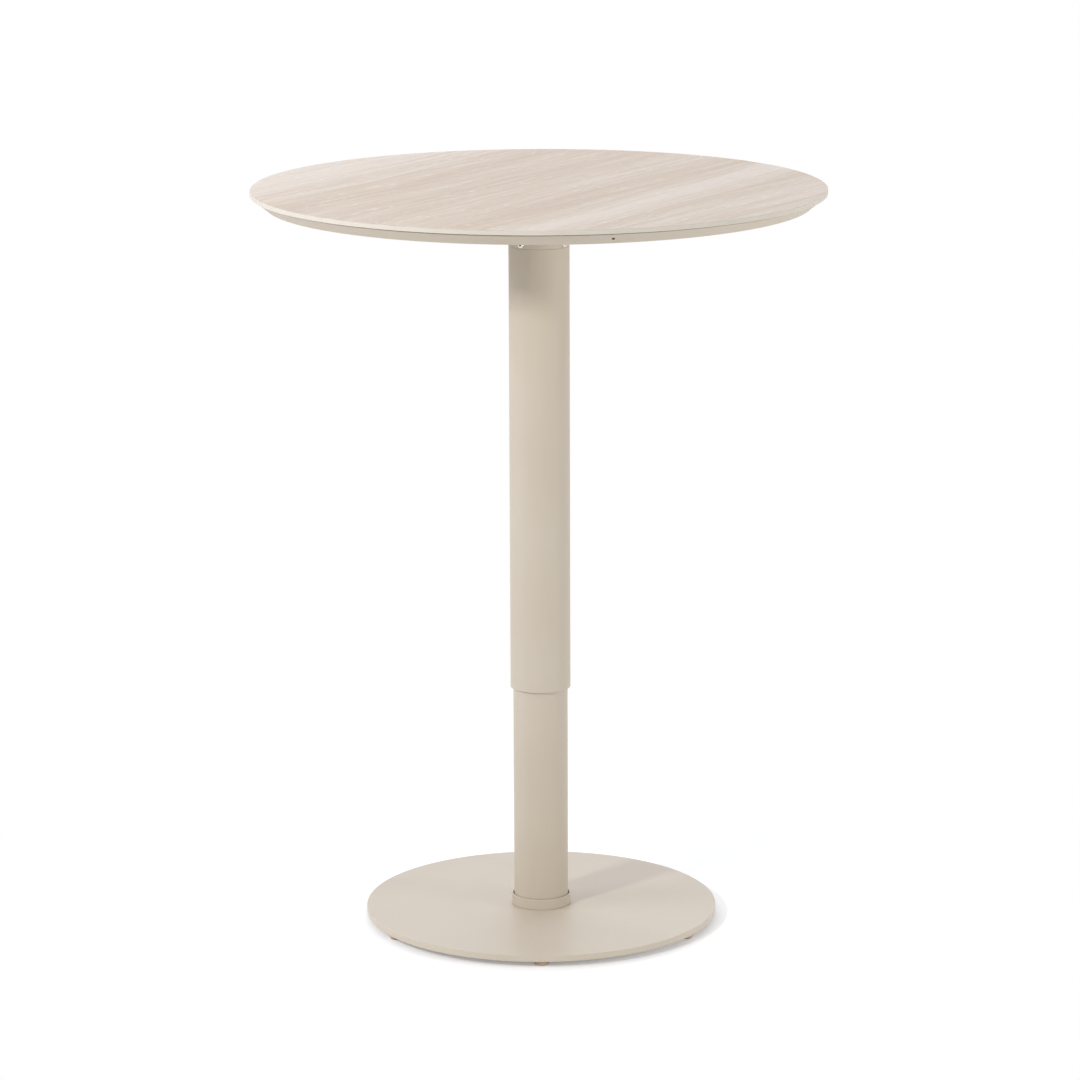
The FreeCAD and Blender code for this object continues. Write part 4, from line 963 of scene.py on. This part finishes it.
class TABLE_OT_lever(bpy.types.Operator):
    """Cranked release lever and its soft grip"""

    bl_idname = "table.lever"
    bl_label = "Release lever"

    def execute(self, context):
        looks = context.scene.table_looks
        dress(self.make_bar(), "release_lever", [shared_coat(looks)], ["release_lever"])
        dark_grip = moulded("dark_grip", looks.fittings.grip)
        dress(self.make_grip(), "release_lever", [dark_grip], ["lever_grip"])
        return {"FINISHED"}

    def make_bar(self):
        """Makes the cranked bar with its nose over the release pin and its boss on the pivot pin."""
        low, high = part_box("release_lever")
        half = LEVER_THICK / 2
        pivot_level = high.z - LEVER_BOSS
        dipped = low.z + half
        knee = LEVER_PIVOT + LEVER_KNEE
        knee_end = knee + LEVER_KNEE_RUN
        bend = 1.5 * LEVER_THICK
        corners = [
            (0.0, pivot_level - half),
            (knee, pivot_level - half, bend),
            (knee_end, dipped - half, bend + LEVER_THICK),
            (high.y, dipped - half),
            (high.y, dipped + half),
            (knee_end, dipped + half, bend),
            (knee, pivot_level + half, bend + LEVER_THICK),
            (0.0, pivot_level + half),
        ]
        # The first and last corner give only the bar's direction: the boss and the nose close the outline.
        shank = eased(corners, steps=8)[1:-1]
        pivot = Vector((LEVER_PIVOT, pivot_level))
        # Angles from the bar's middle line at which the boss and the nose rise out of the bar
        boss_from = math.asin(half / LEVER_BOSS)
        nose_from = math.asin(half / LEVER_NOSE)
        below = arc(pivot, LEVER_BOSS, math.pi + boss_from, math.tau - boss_from)
        above = arc(pivot, LEVER_BOSS, boss_from, math.pi - boss_from)
        nose = arc(Vector((0, pivot_level)), LEVER_NOSE, nose_from, math.tau - nose_from)
        bar = flat_bar("lever_bar", [*below, *shank, *above, *nose], high.x, LEVER_EDGE_ROUND)
        return cut(bar, [rod("bore", LEVER_BORE, 4 * high.x, (0, LEVER_PIVOT, pivot_level), (1, 0, 0))])

    def make_grip(self):
        """Makes the grip with a well that the bar's end fills."""
        bar_low, bar_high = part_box("release_lever")
        low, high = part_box("lever_grip")
        grip = hand_grip("soft_grip", low, high)
        well_low = (bar_low.x - GRIP_FIT, low.y - LEVER_THICK, bar_low.z - GRIP_FIT)
        well_high = (bar_high.x + GRIP_FIT, bar_high.y + GRIP_FIT, bar_low.z + LEVER_THICK + GRIP_FIT)
        return cut(grip, [block("well", well_low, well_high)])


class TABLE_OT_works(bpy.types.Operator):
    """Fasteners, guides, lever bracket and gas spring"""

    bl_idname = "table.works"
    bl_label = "Works"

    def execute(self, context):
        looks = context.scene.table_looks
        fittings = looks.fittings
        zinc = zinc_plate(looks)
        dark_plastic = moulded("dark_plastic", fittings.guide)
        paint(zinc, "glide_screws", "tube_foot", "base_bolts", "spring_stand", "column_head")
        paint(zinc, "rod_locknut", "lever_bracket", "bracket_screws", "pivot_pin", "pivot_clip")
        paint(bare_metal("steel_pin", fittings.steel, roughness=BRIGHT_ROUGHNESS), "release_pin")
        paint(bare_metal("chrome", fittings.chrome, roughness=(0.05, 0.11)), "piston_rod")
        paint(bare_metal("brass", fittings.brass, roughness=(0.22, 0.38)), "threaded_inserts")
        black_paint = moulded("black_paint", fittings.cylinder, 1.5 * MILLIMETRE, roughness=(0.28, 0.4))
        paint(black_paint, "gas_cylinder")
        paint(dark_plastic, "upper_guide_bush", "lower_guide_bush")
        paint(dark_plastic, "rod_guide", "centring_ring", "gas_piston")
        paint(rubbery("stop_rubber", fittings.rubber), "bump_stop")
        return {"FINISHED"}


class TABLE_OT_stage(bpy.types.Operator):
    """Pale floor, soft lamps and the camera"""

    bl_idname = "table.stage"
    bl_label = "Stage"

    def execute(self, context):
        scene = context.scene
        stage = scene.table_looks.stage
        scene.view_settings.view_transform = "Standard"
        self.add_world(scene, stage)
        self.add_floor(stage)
        for name, (place, aim, size, cool) in LAMPS.items():
            colour = stage.cool if cool else PLAIN_LIGHT
            self.add_lamp(name, getattr(stage, name), colour, place, aim, size)
        self.add_camera(scene, stage)
        return {"FINISHED"}

    def add_camera(self, scene, stage):
        """Sets the camera in front of the table and lets it look down and lean."""
        lens = bpy.data.cameras.new("camera")
        lens.lens = stage.lens
        lens.sensor_width = SENSOR_WIDTH
        lens.clip_end = FARTHEST_VIEW
        camera = bpy.data.objects.new("camera", lens)
        camera.location = (0, -stage.camera_back, stage.camera_up)
        level = Matrix.Rotation(math.radians(90) - stage.camera_dip, 3, "X")
        camera.rotation_euler = (level @ Matrix.Rotation(-stage.camera_roll, 3, "Z")).to_euler()
        scene.collection.objects.link(camera)
        scene.camera = camera

    def add_world(self, scene, stage):
        """Lights the scene evenly from all round and shows as white to the camera and in reflections."""
        world = bpy.data.worlds.new("studio")
        world.use_nodes = True
        tree = world.node_tree
        seen = seen_share(tree)
        strength = tree.nodes.new("ShaderNodeMapRange")
        strength.inputs["To Min"].default_value = stage.dome
        strength.inputs["To Max"].default_value = 1.0
        tree.links.new(seen, strength.inputs["Value"])
        tree.nodes["Background"].inputs["Color"].default_value = (1, 1, 1, 1)
        tree.links.new(strength.outputs["Result"], tree.nodes["Background"].inputs["Strength"])
        scene.world = world

    def add_floor(self, stage):
        """Lays a wide floor that takes the table's shadow nearby and is plain white further out."""
        shape = bmesh.new()
        bmesh.ops.create_circle(shape, cap_ends=True, segments=96, radius=FLOOR_RADIUS)
        floor = as_object("floor", shape)
        finish = Finish("floor")
        tree = finish.tree
        tree.nodes.remove(finish.shader)
        seen = seen_share(tree)
        matte = finish.add("ShaderNodeBsdfDiffuse", {"Color": FLOOR_COLOUR})
        lift = finish.add("ShaderNodeEmission", {"Strength": finish.times(seen, stage.floor_lift)})
        near = finish.add("ShaderNodeAddShader", {0: matte.outputs[0], 1: lift.outputs[0]})
        white = finish.add("ShaderNodeEmission", {"Strength": 1.0})
        distance = finish.add("ShaderNodeVectorMath", {0: finish.coords}, operation="LENGTH").outputs["Value"]
        far = finish.times(finish.spread(distance, (0.0, 1.0), within=stage.floor_fade), seen)
        open_floor = finish.add("ShaderNodeMixShader", {0: far, 1: near.outputs[0], 2: white.outputs[0]})
        clear = finish.add("ShaderNodeBsdfTransparent")
        below = finish.add("ShaderNodeNewGeometry").outputs["Backfacing"]
        sided = finish.add("ShaderNodeMixShader", {0: below, 1: open_floor.outputs[0], 2: clear.outputs[0]})
        tree.links.new(sided.outputs[0], tree.nodes["Material Output"].inputs["Surface"])
        floor.data.materials.append(finish.material)

    def add_lamp(self, name, power, colour, place, aim, size):
        """Hangs a soft rectangular lamp that looks at the column at a height."""
        light = bpy.data.lights.new(name, "AREA")
        light.color = colour
        light.shape = "RECTANGLE"
        light.size, light.size_y = size
        light.energy = power
        lamp = bpy.data.objects.new(name, light)
        lamp.location = place
        lamp.rotation_euler = (Vector((0, 0, aim)) - Vector(place)).to_track_quat("-Z", "Y").to_euler()
        lamp.visible_camera = False
        bpy.context.scene.collection.objects.link(lamp)


def seen_share(tree):
    """Gives 1 for rays from the camera and its reflections, and 0 for rays that only light the scene."""
    path = tree.nodes.new("ShaderNodeLightPath")
    share = path.outputs["Is Camera Ray"]
    for name in ("Is Glossy Ray", "Is Transmission Ray"):
        either = tree.nodes.new("ShaderNodeMath")
        either.operation = "MAXIMUM"
        tree.links.new(share, either.inputs[0])
        tree.links.new(path.outputs[name], either.inputs[1])
        share = either.outputs[0]
    return share


BUILD_STEPS = (
    TABLE_OT_slab,
    TABLE_OT_tray,
    TABLE_OT_head,
    TABLE_OT_column,
    TABLE_OT_base,
    TABLE_OT_lever,
    TABLE_OT_works,
    TABLE_OT_stage,
)


class TABLE_PT_looks(bpy.types.Panel):
    """Sidebar panel with the table's sizes, colours and building steps"""

    bl_label = "Pedestal table"
    bl_idname = "TABLE_PT_looks"
    bl_space_type = "VIEW_3D"
    bl_region_type = "UI"
    bl_category = "Table"

    def draw(self, context):
        looks = context.scene.table_looks
        for group in (looks.top, looks.coat, looks.fittings, looks.stage):
            box = self.layout.box()
            for name in group.__annotations__:
                box.prop(group, name)
        self.layout.prop(looks, "steps")
        self.layout.prop(looks, "tube_steps")
        for step in BUILD_STEPS:
            self.layout.operator(step.bl_idname)


CLASSES = (TopLooks, CoatLooks, FittingLooks, StageLooks, TableLooks, *BUILD_STEPS, TABLE_PT_looks)


def register():
    """Makes the settings, steps and panel known."""
    for part in CLASSES:
        bpy.utils.register_class(part)
    bpy.types.Scene.table_looks = PointerProperty(type=TableLooks)


def unregister():
    """Takes the settings, steps and panel away again."""
    del bpy.types.Scene.table_looks
    for part in reversed(CLASSES):
        bpy.utils.unregister_class(part)


def main():
    """Builds the table's looks and the stage."""
    register()
    bpy.ops.table.slab()
    bpy.ops.table.tray()
    bpy.ops.table.head()
    bpy.ops.table.column()
    bpy.ops.table.base()
    bpy.ops.table.lever()
    bpy.ops.table.works()
    bpy.ops.table.stage()


if __name__ == "__main__":
    main()
